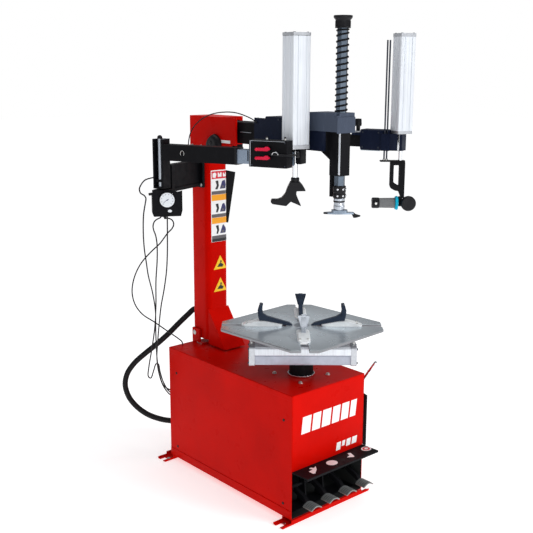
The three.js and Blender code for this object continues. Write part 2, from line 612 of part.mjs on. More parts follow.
// ---- right assist arm ----
function rightArm(columnGroup) {
  const arm = body(columnGroup, RIGHT_POST.x, RIGHT_POST.y, 0, RIGHT_TURN);
  const knuckle = bar([0, 0, 1532], [0, 0, 1590], 38, 24);
  const hollow = box([50, 746], [-20, 20], [1540, 1580]);
  const beam = box([20, 745], [-25, 25], [1535, 1585]).subtract(hollow);
  const bore = bar([0, 0, 1500], [0, 0, 1600], 15 + RUN, 20);
  add(arm, "right_beam", BLACK, join(knuckle, beam).subtract(bore));

  const carriage = body(arm);
  const reach = RIGHT_REACH;
  const block = prism("x", roundedRect(-38, 38, 1524, 1612, 8, 2), 657, 790);
  const shim = box([612, 662], [-30, 30], [1585 + RUN, 1602]);
  const end = reach + 15;
  const taper = prism("z", [[780, -38], [end, -24], [end, 24], [780, 38]], 1525, 1597);
  const knob = join(bar([630, 0, 1600], [630, 0, 1625], 7, 12), bar([630, 0, 1624], [630, 0, 1655], 14));
  const way = box([631, 818], [-25 - RUN, 25 + RUN], [1535 - RUN, 1585 + RUN]);
  const rodBoss = box([757, 793], [-46, -30], [1524, 1597]);
  const rodWay = box([764.5, 784.5], [-40, -23.5], [1500, 1640]);
  const square = (side) => roundedRect(-side, side, -side, side, 8, 2);
  const onRod = (s) => turnedBy(s, CYLINDER_TURN.right).translate([reach, 0, 0]);
  const seat = onRod(prism("z", square(37), 1597, 1700));
  const rodBore = bar([reach, 0, 1500], [reach, 0, 1990], 9 + RUN, 20);
  const casting = join(block, taper, shim, knob, rodBoss);
  add(carriage, "right_carriage", NAVY, cut(casting, way, rodWay, rodBore, seat));
  const barrel = onRod(prism("z", square(36), 1597 + GAP, 2016));
  add(carriage, "right_cylinder", ALUMINIUM, barrel.subtract(rodBore));

  const tool = body(carriage, reach, 0, 0, TOOL_TURN - RIGHT_TURN);
  const topPlate = box([-87, 20], [-16, 16], [1477, 1483]);
  const guide = (u) => bar([u, 0, 1480], [u, 0, 1987], 3.5, 8);
  const pressRod = bar([0, 0, 1480], [0, 0, 1700], 9, 20);
  const eye = [[-27, 1392], [-24, 1386], [-4, 1374], [-4, 1462], [-27, 1462]];
  const loop = prism(
    "y",
    [[-43, 1478], [-43, 1375], [-38, 1362], [-20, 1352], [0, 1349], [4, 1336], [4, 1318], [22, 1318],
      [22, 1478]],
    -9,
    9,
    [eye],
  );
  const axle = bar([6, 0, 1326], [6, 0, 1283], 9, 16);
  const rollerAxle = bar([8, 0, 1297], [-116, 0, 1297], 6, 16);
  const discNeck = bar([6, 0, 1297], [32, -2, 1297], 8, 16);
  const discHub = bar([40, 12, 1297], [40, -10 + GAP, 1297], 8, 16);
  const ring = bar([-17 + GAP, 0, 1297], [-6, 0, 1297], 30, 24);
  const upper = join(topPlate, guide(-70), guide(-59), pressRod, loop);
  const lower = join(axle, rollerAxle, ring, discNeck, discHub);
  add(tool, "roller_frame", BLACK, join(upper, lower));
  const rollerBore = bar([-125, 0, 1297], [-5, 0, 1297], 6 + RUN, 16);
  const roller = bar([-118, 0, 1297], [-18, 0, 1297], 23.5, 24).subtract(rollerBore);
  add(body(tool), "press_roller", SLATE, roller);
  const disc = bar([40, -10, 1297], [40, -30, 1297], 33, 32, 29);
  add(body(tool), "press_disc", BLACK, disc);
}

// ---- hoses ----
// Conduit from the column's foot, out behind the cabinet and in through its rear cover.
const CONDUIT = [
  [-34, 867, 720], [-34, 886, 719], [-68, 897, 692], [-105, 915, 655], [-150, 940, 605],
  [-200, 972, 553], [-250, 1006, 505], [-292, 1036, 458], [-322, 1056, 405], [-334, 1058, 350],
  [-326, 1040, 290], [-300, 1008, 240], [-262, 966, 202], [-215, 920, 180], [-180, 892, 172],
  [-162, 872, 168], [-158, 851, 168],
];
// Air tubes: from the gauge box one runs to the cabinet's top and two to its rear cover. The side
// tube starts on the outrigger, bends past the gauge box and ends at the rear cover as well.
const TOP_TUBE = [
  [-343, 676, 1237], [-342, 674, 1230], [-329, 668, 1228], [-314, 662, 1220], [-306, 660, 1201],
  [-312, 666, 1180], [-324, 678, 1163], [-333, 696, 1138], [-339, 723, 1108], [-357, 763, 1069],
  [-374, 812, 1018], [-379, 855, 965], [-382, 885, 905], [-376, 903, 848], [-358, 908, 792],
  [-325, 900, 742], [-272, 880, 698], [-212, 856, 645], [-170, 836, 608], [-154, 826, 590],
  [-152, 825, 573],
];
const REAR_TUBE = [
  [-319, 690, 1237], [-319, 690, 1204], [-316, 696, 1146], [-307, 712, 1067], [-300, 732, 976],
  [-296, 760, 885], [-294, 790, 800], [-289, 818, 700], [-284, 842, 600], [-276, 862, 520],
  [-258, 874, 440], [-232, 878, 370], [-206, 868, 326], [-198, 858, 319], [-197, 849, 318],
];
const LOOP_TUBE = [
  [-345, 699, 1237], [-348, 699, 1229], [-362, 702, 1224], [-376, 706, 1214], [-381, 710, 1196],
  [-377, 712, 1174], [-365, 716, 1150], [-356, 720, 1110], [-337, 750, 1028], [-328, 777, 925],
  [-316, 800, 800], [-308, 826, 690], [-309, 853, 580], [-314, 874, 490], [-311, 887, 436],
  [-293, 892, 421], [-274, 894, 456], [-258, 897, 484], [-243, 899, 478], [-234, 901, 440],
  [-213, 902, 375], [-194, 886, 332], [-181, 864, 322], [-178, 849, 322],
];
const SIDE_TUBE = [
  [-285.5, 741, 1402], [-291, 753, 1401], [-318, 762, 1399], [-355, 764, 1396], [-383, 762, 1390],
  [-408, 756, 1372], [-422, 748, 1354], [-421, 740, 1338], [-408, 735, 1329], [-398, 735, 1316],
  [-399, 740, 1290], [-402, 750, 1244], [-392, 772, 1165], [-371, 800, 1082], [-346, 824, 1005],
  [-328, 838, 940], [-300, 848, 850], [-282, 856, 760], [-276, 866, 660], [-270, 873, 560],
  [-264, 876, 500], [-247, 886, 430], [-223, 889, 368], [-198, 880, 344], [-187, 864, 340],
  [-186, 849, 340],
];
// From the head's left cheek, over the head, to the lock on the main arm.
const ARM_TUBE = [
  [-67.5, 846, 1512], [-80, 848, 1520], [-88, 835, 1548], [-94, 815, 1577], [-96, 790, 1605],
  [-95, 726, 1646], [-93, 653, 1671], [-88, 558, 1683], [-80, 498, 1681], [-70, 455, 1671],
  [-60, 417, 1657], [-51, 396, 1641],
];

function hoses(tilting) {
  add(machine, "column_conduit", RUBBER, hose(CONDUIT, HOSE.conduit, 36, 12));
  add(tilting, "air_tube_top", RUBBER, hose(TOP_TUBE, HOSE.air, 64));
  add(tilting, "air_tube_rear", RUBBER, hose(REAR_TUBE, HOSE.air, 48));
  add(tilting, "air_tube_loop", RUBBER, hose(LOOP_TUBE, HOSE.air, 64));
  add(tilting, "air_tube_side", RUBBER, hose(SIDE_TUBE, HOSE.air, 64));
  add(tilting, "air_tube_arm", RUBBER, hose(ARM_TUBE, HOSE.thin, 36));
}

cabinet();
footRail("front_foot_rail", RAIL.front);
footRail("rear_foot_rail", RAIL.rear);
pedals();
drive();
turntable();
beadBreaker();
tiltBase();
const tilting = body(machine);
column(tilting);
head(tilting);
leftBracket(tilting);
rightBracket(tilting);
const sliding = body(tilting);
mainArm(sliding);
spring(sliding);
spindle(body(sliding));
leftArm(tilting);
rightArm(tilting);
hoses(tilting);

export default machine;
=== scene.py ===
# The finished look of a tilting-column tire changer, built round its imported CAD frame.
# Shapes are given in millimetres: +Z up, the pedals towards -Y, the origin on the floor.
import json
import math
import bpy
import bmesh
from mathutils import Matrix, Vector

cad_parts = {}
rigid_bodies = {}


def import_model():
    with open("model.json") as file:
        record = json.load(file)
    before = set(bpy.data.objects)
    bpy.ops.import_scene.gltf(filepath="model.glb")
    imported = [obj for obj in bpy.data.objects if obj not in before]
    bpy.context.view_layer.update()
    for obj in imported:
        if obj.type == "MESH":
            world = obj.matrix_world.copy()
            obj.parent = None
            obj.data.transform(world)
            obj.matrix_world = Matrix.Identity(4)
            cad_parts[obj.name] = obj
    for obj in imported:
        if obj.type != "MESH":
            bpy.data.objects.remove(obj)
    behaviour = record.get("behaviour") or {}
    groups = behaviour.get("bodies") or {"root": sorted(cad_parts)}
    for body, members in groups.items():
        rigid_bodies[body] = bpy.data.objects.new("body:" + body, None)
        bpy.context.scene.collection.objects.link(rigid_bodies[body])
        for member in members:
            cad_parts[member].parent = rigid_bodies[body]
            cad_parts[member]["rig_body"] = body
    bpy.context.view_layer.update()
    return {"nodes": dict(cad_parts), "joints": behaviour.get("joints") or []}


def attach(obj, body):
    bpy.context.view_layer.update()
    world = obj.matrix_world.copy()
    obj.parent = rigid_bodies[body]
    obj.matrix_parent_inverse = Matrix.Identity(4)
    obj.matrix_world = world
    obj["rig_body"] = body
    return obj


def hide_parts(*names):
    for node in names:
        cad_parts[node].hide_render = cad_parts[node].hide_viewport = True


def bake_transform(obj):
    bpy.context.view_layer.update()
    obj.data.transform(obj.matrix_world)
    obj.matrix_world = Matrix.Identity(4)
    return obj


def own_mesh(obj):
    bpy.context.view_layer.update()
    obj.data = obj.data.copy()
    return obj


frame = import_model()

MM = 0.001
rad = math.radians
NODES = frame["nodes"]
JOINTS = {joint["name"]: joint for joint in frame["joints"]}


def joint_at(name):
    """Where a turning joint's axis stands, in millimetres."""
    return [c / MM for c in JOINTS[name]["pos_m"]]


def heading(name):
    """The direction of a level slide, in degrees from +X towards +Y."""
    x, y, _ = JOINTS[name]["axis"]
    return math.degrees(math.atan2(y, x))


# ---------------------------------------------------------------- camera
CAMERA_AT = (-2.4886, -2.4293, 1.8534)
CAMERA_TURN = (90 - 12.62, -0.22, -41.38)
LENS, SENSOR = 58.68, 36


def make_camera():
    data = bpy.data.cameras.new("camera")
    data.lens = LENS
    data.sensor_width = SENSOR
    camera = bpy.data.objects.new("camera", data)
    camera.location = CAMERA_AT
    camera.rotation_euler = [rad(angle) for angle in CAMERA_TURN]
    bpy.context.scene.collection.objects.link(camera)
    bpy.context.scene.camera = camera


make_camera()


# ---------------------------------------------------------------- node materials
class Nodes:
    """A material's node tree with short names for what the finishes below share."""

    def __init__(self, name, **sockets):
        self.material = bpy.data.materials.new(name)
        self.material.use_nodes = True
        self.tree = self.material.node_tree
        self.shader = self.tree.nodes["Principled BSDF"]
        self.place = self.add("ShaderNodeTexCoord").outputs["Object"]
        for key, value in sockets.items():
            self.shader.inputs[key.replace("_", " ")].default_value = value

    def add(self, kind, **settings):
        node = self.tree.nodes.new(kind)
        for key, value in settings.items():
            if hasattr(node, key):
                setattr(node, key, value)
            else:
                node.inputs[key.replace("_", " ")].default_value = value
        return node

    def link(self, a, b):
        self.tree.links.new(a, b)

    def noise(self, scale, detail=4, rough=0.55, stretch=(1, 1, 1)):
        mapping = self.add("ShaderNodeMapping")
        mapping.inputs["Scale"].default_value = stretch
        self.link(self.place, mapping.inputs["Vector"])
        n = self.add("ShaderNodeTexNoise", Scale=scale, Detail=detail, Roughness=rough)
        self.link(mapping.outputs["Vector"], n.inputs["Vector"])
        return n.outputs["Fac"]

    def ramp(self, value, stops):
        r = self.add("ShaderNodeValToRGB")
        while len(r.color_ramp.elements) < len(stops):
            r.color_ramp.elements.new(0.5)
        for element, (at, colour) in zip(r.color_ramp.elements, stops):
            element.position = at
            element.color = (*colour, 1)
        self.link(value, r.inputs["Fac"])
        return r.outputs["Color"]

    def levels(self, value, low, high, start=0.3, end=0.7):
        m = self.add("ShaderNodeMapRange")
        limits = {"From Min": start, "From Max": end, "To Min": low, "To Max": high}
        for key, number in limits.items():
            m.inputs[key].default_value = number
        self.link(value, m.inputs["Value"])
        return m.outputs["Result"]

    def mix(self, factor, a, b):
        m = self.add("ShaderNodeMix", data_type="RGBA")
        for socket, value in ((m.inputs["Factor"], factor), (m.inputs[6], a), (m.inputs[7], b)):
            if isinstance(value, tuple):
                socket.default_value = (*value, 1)
            else:
                self.link(value, socket)
        return m.outputs[2]

    def bump(self, height, distance, strength):
        b = self.add("ShaderNodeBump", Distance=distance, Strength=strength)
        self.link(height, b.inputs["Height"])
        return b.outputs["Normal"]

    def done(self, colour, rough=None, normal=None):
        self.link(colour, self.shader.inputs["Base Color"])
        if rough is not None:
            self.link(rough, self.shader.inputs["Roughness"])
        if normal is not None:
            self.link(normal, self.shader.inputs["Normal"])
        return self.material


def shade(colour, factor, lift=0.0):
    """A colour made darker or lighter, and never past white."""
    return tuple(min(1, c * factor + lift) for c in colour)


def gloss_paint(name, colour, rough=0.25, coat=0.6, spread=0.12):
    """Gloss paint with orange peel, slow colour drift and faint dust."""
    n = Nodes(name, Coat_Weight=coat, Coat_Roughness=0.12, Specular_IOR_Level=0.05)
    n.shader.inputs["Specular Tint"].default_value = (*shade(colour, 1 / max(colour), 0.04), 1)
    lighter = shade(colour, 1 + spread)
    drift = n.ramp(n.noise(3.5), [(0.3, shade(colour, 1 - spread)), (0.7, lighter)])
    worn = n.mix(n.levels(n.noise(160, 3), 0, 0.35, 0.5, 0.75), drift, lighter)
    peel = n.bump(n.noise(420, 2), 0.0002, 0.25)
    roughness = n.levels(n.noise(14, 5), rough - 0.05, rough + 0.09)
    return n.done(worn, roughness, peel)


def textured_coat(name, colour, rough=0.5, grain=900, depth=0.0004):
    """Black or dark textured powder coat: a fine pebble grain with scuffs."""
    n = Nodes(name, Specular_IOR_Level=0.09)
    lighter = shade(colour, 1.6, 0.004)
    scuff = n.ramp(n.noise(55, 6, 0.7, (1, 1, 0.3)), [(0.55, colour), (0.8, lighter)])
    speck = n.mix(n.levels(n.noise(grain, 2), 0, 0.35, 0.55, 0.7), scuff, lighter)
    normal = n.bump(n.noise(grain, 3), depth, 0.35)
    return n.done(speck, n.levels(n.noise(30, 5), rough - 0.1, rough + 0.12), normal)


def brushed(name, colour, rough, scale, metal=1.0, stretch=(1, 1, 1)):
    """Brushed or cast metal: fine marks, drawn out into scratches where they are stretched."""
    n = Nodes(name, Metallic=metal)
    lines = n.noise(scale, 6, 0.65, stretch)
    tone = n.ramp(lines, [(0.32, shade(colour, 0.78)), (0.68, colour)])
    cloud = n.mix(n.levels(n.noise(6, 4), 0, 0.4), tone, shade(colour, 0.86))
    normal = n.bump(lines, 0.00012, 0.3)
    return n.done(cloud, n.levels(n.noise(18, 5), rough - 0.07, rough + 0.1), normal)


def polished_plate(name, colour):
    """Machined plate: turning marks round the table's axis, faint stains and a duller rim."""
    n = Nodes(name, Metallic=0.6)
    offset = n.add("ShaderNodeVectorMath", operation="SUBTRACT")
    n.link(n.place, offset.inputs[0])
    offset.inputs[1].default_value = JOINTS["turntable_spin"]["pos_m"]
    split = n.add("ShaderNodeSeparateXYZ")
    n.link(offset.outputs[0], split.inputs[0])
    flat = n.add("ShaderNodeCombineXYZ")
    n.link(split.outputs[0], flat.inputs[0])
    n.link(split.outputs[1], flat.inputs[1])
    length = n.add("ShaderNodeVectorMath", operation="LENGTH")
    n.link(flat.outputs[0], length.inputs[0])
    rings = n.add("ShaderNodeTexNoise", Scale=420, Detail=3)
    rings.noise_dimensions = "1D"
    n.link(length.outputs["Value"], rings.inputs["W"])
    marks = rings.outputs["Fac"]
    tone = n.ramp(marks, [(0.3, shade(colour, 0.82)), (0.7, colour)])
    stain = n.mix(n.levels(n.noise(7, 6, 0.65), 0, 0.5, 0.42, 0.7), tone, shade(colour, 0.72))
    # Darker towards the rim: the colour is drawn darker with the distance from the table's axis.
    rim_darkening = n.levels(length.outputs["Value"], 0, 0.55, 0.12, 0.32)
    darkened_rim = n.mix(rim_darkening, stain, shade(colour, 0.3))
    normal = n.bump(marks, 0.00008, 0.35)
    return n.done(darkened_rim, n.levels(n.noise(9, 5), 0.16, 0.33), normal)


def rubbery(name, colour, rough=0.6, grain=700):
    """Rubber or moulded plastic with a little dust in its grain."""
    n = Nodes(name, Specular_IOR_Level=0.2)
    dust = n.mix(n.levels(n.noise(24, 6), 0, 0.5, 0.5, 0.8), colour, tuple(c * 1.6 + 0.004 for c in colour))
    roughness = n.levels(n.noise(40, 4), rough - 0.1, rough + 0.12)
    return n.done(dust, roughness, n.bump(n.noise(grain, 2), 0.0002, 0.3))


def printed(name, colour, rough=0.4):
    """Ink or vinyl: a clean colour with a little wear."""
    n = Nodes(name, Specular_IOR_Level=0.4)
    faded = n.mix(n.levels(n.noise(60, 5), 0, 0.22), colour, shade(colour, 0.85, 0.03))
    roughness = n.levels(n.noise(90, 3), rough - 0.06, rough + 0.08)
    return n.done(faded, roughness, n.bump(n.noise(500, 2), 0.0001, 0.2))


RED = gloss_paint("red_paint", (0.6, 0.0035, 0.001), 0.3, 0.0)
BLACK = textured_coat("black_coat", (0.005, 0.005, 0.0065), 0.5)
SLATE = textured_coat("slate_coat", (0.06, 0.075, 0.11), 0.4, 1100, 0.0002)
TUBE_BLUE = brushed("blued_tube", (0.3, 0.37, 0.47), 0.3, 40, 0.7, stretch=(1, 1, 60))
NAVY = textured_coat("navy_coat", (0.006, 0.010, 0.027), 0.38)
BLUE_GREY = brushed("hard_shaft", (0.11, 0.14, 0.18), 0.3, 220, 0.8, stretch=(1, 1, 0.05))
ALUMINIUM = brushed("anodised_aluminium", (0.9, 0.94, 1.0), 0.42, 160, 0.35, stretch=(1, 1, 0.02))
# A darker copy of the anodised aluminium, used as painted shade on the lower part of the clamp cylinders.
PAINTED_SHADE_ALU = brushed("aluminium_painted_shade", (0.5, 0.53, 0.62), 0.45, 30, 0.4)
JAW_STEEL = brushed("jaw_steel", (0.95, 0.98, 1.0), 0.34, 14, 0.1)
TREAD = brushed("worn_tread", (0.3, 0.31, 0.3), 0.4, 50, 0.5)
TOOL_STEEL = brushed("tool_steel", (0.27, 0.33, 0.41), 0.32, 60, 0.8)
CAP_ALU = brushed("cast_aluminium", (0.62, 0.64, 0.68), 0.42, 120, 0.9)
PLATE = polished_plate("ground_steel", (0.84, 0.93, 1.0))
RIM = brushed("plate_rim", (0.3, 0.31, 0.33), 0.35, 40, 0.7)
STEEL = brushed("machined_steel", (0.56, 0.6, 0.66), 0.3, 24, 0.9)
JAW_BLUE = gloss_paint("jaw_paint", (0.03, 0.042, 0.068), 0.3, 0.2)
DARK_STEEL = brushed("blued_steel", (0.05, 0.058, 0.078), 0.36, 60, 0.8)
CHROME = brushed("chrome", (0.9, 0.92, 0.95), 0.08, 200, stretch=(1, 1, 0.05))
ZINC = brushed("zinc_plate", (0.72, 0.72, 0.7), 0.3, 90)
IRON = textured_coat("cast_iron", (0.12, 0.125, 0.13), 0.6, 260, 0.0015)
RUBBER = rubbery("black_rubber", (0.006, 0.006, 0.007), 0.45)
PLASTIC = rubbery("black_plastic", (0.007, 0.007, 0.009), 0.36, 1200)
INSIDE = textured_coat("primer_grey", (0.028, 0.03, 0.03), 0.7)
GREY_PLASTIC = rubbery("grey_plastic", (0.17, 0.175, 0.18), 0.45, 900)
CYAN = rubbery("cyan_plastic", (0.0, 0.42, 0.62), 0.35, 900)
LEVER_RED = rubbery("red_plastic", (0.7, 0.008, 0.05), 0.25, 900)
WHITE_INK = printed("white_ink", (0.93, 0.93, 0.93))
RED_INK = printed("red_ink", (0.7, 0.01, 0.03))
BLACK_INK = printed("black_ink", (0.012, 0.012, 0.016))
GREY_INK = printed("grey_ink", (0.12, 0.11, 0.12))
ORANGE_INK = printed("orange_ink", (0.95, 0.38, 0.005))
YELLOW_INK = printed("yellow_ink", (0.95, 0.6, 0.005))
NAVY_INK = printed("navy_ink", (0.03, 0.03, 0.13))
DIAL = printed("dial_face", (0.9, 0.94, 0.98), 0.3)


# ---------------------------------------------------------------- mesh tools
def frame_matrix(x=0, y=0, z=0, turn=0):
    """A place on the machine, in millimetres, turned by degrees about +Z."""
    return Matrix.Translation(Vector((x, y, z)) * MM) @ Matrix.Rotation(rad(turn), 4, "Z")


def turns(count):
    """Angles in radians, evenly spread round a circle."""
    return [2 * math.pi * i / count for i in range(count)]


def circle(middle, side, other, r, sides):
    """Points round a middle, in the plane of two unit vectors."""
    return [middle + (side * math.cos(t) + other * math.sin(t)) * r for t in turns(sides)]


def tube_rings(points, radius, sides):
    """Rings square to a line of points, with radius(i) the radius at point i."""
    rings = []
    normal = None
    for i, p in enumerate(points):
        t = (points[min(i + 1, len(points) - 1)] - points[max(i - 1, 0)]).normalized()
        if normal is None:
            normal = t.orthogonal()
        normal = (normal - t * normal.dot(t)).normalized()
        rings.append(circle(p, normal, t.cross(normal), radius(i), sides))
    return rings


def make_object(name, bm, materials):
    """A mesh object in the scene from a bmesh, which is freed."""
    mesh = bpy.data.meshes.new(name)
    bm.to_mesh(mesh)
    bm.free()
    for material in materials:
        mesh.materials.append(material)
    obj = bpy.data.objects.new(name, mesh)
    bpy.context.scene.collection.objects.link(obj)
    return obj


def round_edges(obj, width, segments, sharp):
    """Rounds the edges that are sharper than an angle, and keeps the faces between them flat."""
    edges = obj.modifiers.new("edges", "BEVEL")
    edges.width = width * MM
    edges.segments = segments
    edges.limit_method = "ANGLE"
    edges.angle_limit = rad(sharp)
    obj.modifiers.new("shading", "WEIGHTED_NORMAL").keep_sharp = True


class Shape:
    """Collects solids, in millimetres from a place on the machine, into one mesh of several finishes."""

    def __init__(self, name, body, place=None):
        self.name, self.body, self.place = name, body, place or Matrix()
        self.bm = bmesh.new()
        self.materials = []
        self.current = 0

    def use(self, material):
        if material not in self.materials:
            self.materials.append(material)
        self.current = self.materials.index(material)
        return self

    def put(self, verts, faces):
        made = [self.bm.verts.new(Vector(v) * MM) for v in verts]
        for f in faces:
            face = self.bm.faces.new([made[i] for i in f])
            face.material_index = self.current
            face.smooth = True

    def rings(self, rings):
        """Skins a list of rings of points, each with the same count, and closes both ends."""
        count = len(rings[0])
        faces = []
        for r in range(len(rings) - 1):
            for i in range(count):
                j = (i + 1) % count
                faces.append((r * count + i, r * count + j, (r + 1) * count + j, (r + 1) * count + i))
        faces.append(tuple(reversed(range(count))))
        faces.append(tuple(range((len(rings) - 1) * count, len(rings) * count)))
        self.put([p for ring in rings for p in ring], faces)
        return self

    def block(self, x, y, z, round_by=0.0):
        """A box from pairs of limits, with its four edges along the longest side rounded."""
        if round_by:
            spans = [x[1] - x[0], y[1] - y[0], z[1] - z[0]]
            axis = "xyz"[spans.index(max(spans))]
            u, v, w = {"x": (y, z, x), "y": (x, z, y), "z": (x, y, z)}[axis]
            return self.prism(axis, rounded(*u, *v, round_by), *w)
        corners = [(a, b, c) for c in z for b in y for a in x]
        faces = [(0, 2, 3, 1), (4, 5, 7, 6), (0, 1, 5, 4), (2, 6, 7, 3), (0, 4, 6, 2), (1, 3, 7, 5)]
        self.put(corners, faces)
        return self

    def prism(self, axis, outline, a, b):
        """An outline in the two other axes, in order, extruded along axis."""
        area = sum(p[0] * q[1] - q[0] * p[1] for p, q in zip(outline, outline[1:] + outline[:1]))
        points = list(outline) if area > 0 else list(reversed(outline))
        if axis == "y":
            points.reverse()
        lift = {"x": lambda u, v, w: (w, u, v), "y": lambda u, v, w: (u, w, v),
                "z": lambda u, v, w: (u, v, w)}[axis]
        return self.rings([[lift(u, v, w) for u, v in points] for w in (a, b)])

    def rod(self, a, b, r, r2=None, sides=32, round_by=0.0):
        """A round bar between two points, with its ends rounded off if asked."""
        a, b = Vector(a), Vector(b)
        axis = (b - a).normalized()
        side = axis.orthogonal().normalized()
        other = axis.cross(side)
        r2 = r if r2 is None else r2
        length = (b - a).length
        steps = [(0, r), (length, r2)]
        if round_by:
            knee = round_by * 0.3
            steps = [(0, r - round_by), (knee, r - knee), (round_by, r),
                     (length - round_by, r2), (length - knee, r2 - knee), (length, r2 - round_by)]
        return self.rings([circle(a + axis * h, side, other, q, sides) for h, q in steps])

    def turned(self, profile, x=0, y=0, sides=48):
        """A profile of (radius, height) pairs, from bottom to top, turned round a vertical axis."""
        along_x, along_y = Vector((1, 0, 0)), Vector((0, 1, 0))
        return self.rings([circle(Vector((x, y, z)), along_x, along_y, max(r, 0.01), sides)
                           for r, z in profile])

    def sweep(self, points, r, sides=10):
        """A round tube through points."""
        return self.rings(tube_rings([Vector(p) for p in points], lambda i: r, sides))

    def hexagon(self, x, y, z, across, height):
        """A hexagon head with a chamfered top."""
        corner = across / math.sqrt(3)
        return self.turned([(corner, z), (corner, z + height * 0.8), (corner * 0.86, z + height)], x, y, 6)

    def done(self, *replaced, slot, bevel=0.6, segments=2, sharp=32):
        """The finished object, riding on its body."""
        bmesh.ops.transform(self.bm, matrix=self.place, verts=self.bm.verts)
        bmesh.ops.recalc_face_normals(self.bm, faces=self.bm.faces)
        obj = make_object(self.name, self.bm, self.materials)
        obj.data.set_sharp_from_angle(angle=rad(sharp))
        if bevel:
            round_edges(obj, bevel, segments, sharp)
        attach(obj, self.body)
        if replaced:
            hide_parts(*replaced)
        return obj


def centred(half, r, steps=6):
    """A square with rounded corners round the origin, as outline points."""
    return rounded(-half, half, -half, half, r, steps)


def rounded(u0, u1, v0, v1, r, steps=5):
    """A rectangle with rounded corners, as outline points."""
    corners = [(u1 - r, v1 - r, 0), (u0 + r, v1 - r, 90), (u0 + r, v0 + r, 180), (u1 - r, v0 + r, 270)]
    return [(u + r * math.cos(rad(a + 90 * i / steps)), v + r * math.sin(rad(a + 90 * i / steps)))
            for u, v, a in corners for i in range(steps + 1)]


def from_node(node, finishes, bevel, segments, sharp=35, pick=None):
    """A copy of a CAD node's mesh, cleaned into flat faces, with rounded edges.
    With several finishes, pick says which one a face takes, from its centre in mm and its normal."""
    bm = bmesh.new()
    bm.from_mesh(NODES[node].data)
    bmesh.ops.remove_doubles(bm, verts=bm.verts, dist=1e-5)
    bmesh.ops.dissolve_limit(bm, angle_limit=rad(1), verts=bm.verts, edges=bm.edges)
    for f in bm.faces:
        f.smooth = True
        if pick:
            f.material_index = int(pick(f.calc_center_median() / MM, f.normal))
    obj = make_object(node + "_finished", bm, finishes if isinstance(finishes, list) else [finishes])
    obj.data.set_sharp_from_angle(angle=rad(sharp))
    round_edges(obj, bevel, segments, sharp)
    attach(obj, NODES[node]["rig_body"])
    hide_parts(node)


# ---------------------------------------------------------------- free hoses
# Each cord's route through space, from its end on the column.
CONDUIT = [(-34, 867, 720), (-34, 886, 719), (-68, 897, 692), (-105, 915, 655), (-150, 940, 605),
           (-200, 972, 553), (-250, 1006, 505), (-292, 1036, 458), (-322, 1056, 405), (-334, 1058, 350),
           (-326, 1040, 290), (-300, 1008, 240), (-262, 966, 202), (-215, 920, 180), (-180, 892, 172),
           (-162, 872, 168), (-158, 851, 168)]
TOP_TUBE = [(-343, 676, 1237), (-342, 674, 1230), (-329, 668, 1228), (-314, 662, 1220), (-306, 660, 1201),
            (-312, 666, 1180), (-324, 678, 1163), (-333, 696, 1138), (-339, 723, 1108), (-357, 763, 1069),
            (-374, 812, 1018), (-379, 855, 965), (-382, 885, 905), (-376, 903, 848), (-358, 908, 792),
            (-325, 900, 742), (-272, 880, 698), (-212, 856, 645), (-170, 836, 608), (-154, 826, 590),
            (-152, 825, 573)]
REAR_TUBE = [(-319, 690, 1237), (-319, 690, 1204), (-316, 696, 1146), (-307, 712, 1067), (-300, 732, 976),
             (-296, 760, 885), (-294, 790, 800), (-289, 818, 700), (-284, 842, 600), (-276, 862, 520),
             (-258, 874, 440), (-232, 878, 370), (-206, 868, 326), (-198, 858, 319), (-197, 849, 318)]
LOOP_TUBE = [(-345, 699, 1237), (-348, 699, 1229), (-362, 702, 1224), (-376, 706, 1214), (-381, 710, 1196),
             (-377, 712, 1174), (-365, 716, 1150), (-356, 720, 1110), (-337, 750, 1028), (-328, 777, 925),
             (-316, 800, 800), (-308, 826, 690), (-309, 853, 580), (-314, 874, 490), (-311, 887, 436),
             (-293, 892, 421), (-274, 894, 456), (-258, 897, 484), (-243, 899, 478), (-234, 901, 440),
             (-213, 902, 375), (-194, 886, 332), (-181, 864, 322), (-178, 849, 322)]
SIDE_TUBE = [(-285.5, 741, 1402), (-291, 753, 1401), (-318, 762, 1399), (-355, 764, 1396), (-383, 762, 1390),
             (-408, 756, 1372), (-422, 748, 1354), (-421, 740, 1338), (-408, 735, 1329), (-398, 735, 1316),
             (-399, 740, 1290), (-402, 750, 1244), (-392, 772, 1165), (-371, 800, 1082), (-346, 824, 1005),
             (-328, 838, 940), (-300, 848, 850), (-282, 856, 760), (-276, 866, 660), (-270, 873, 560),
             (-264, 876, 500), (-247, 886, 430), (-223, 889, 368), (-198, 880, 344), (-187, 864, 340),
             (-186, 849, 340)]
ARM_TUBE = [(-67.5, 846, 1512), (-80, 848, 1520), (-88, 835, 1548), (-94, 815, 1577), (-96, 790, 1605),
            (-95, 726, 1646), (-93, 653, 1671), (-88, 558, 1683), (-80, 498, 1681), (-70, 455, 1671),
            (-60, 417, 1657), (-51, 396, 1641)]


def smooth_line(points, step):
    """Centripetal Catmull-Rom through the points, sampled about every step."""
    pts = [Vector(p) for p in points]
    pts = [pts[0] * 2 - pts[1]] + pts + [pts[-1] * 2 - pts[-2]]
    out = []
    for a, b, c, d in zip(pts, pts[1:], pts[2:], pts[3:]):
        t = [0.0]
        for p, q in ((a, b), (b, c), (c, d)):
            t.append(t[-1] + math.sqrt((q - p).length))
        count = max(2, round((c - b).length / step))
        for i in range(count):
            u = t[1] + (t[2] - t[1]) * i / count

            def span(p, q, i0, i1):
                return p * ((t[i1] - u) / (t[i1] - t[i0])) + q * ((u - t[i0]) / (t[i1] - t[i0]))

            a1, a2, a3 = span(a, b, 0, 1), span(b, c, 1, 2), span(c, d, 2, 3)
            out.append(span(span(a1, a2, 0, 2), span(a2, a3, 1, 3), 1, 2))
    return out + [pts[-2]]


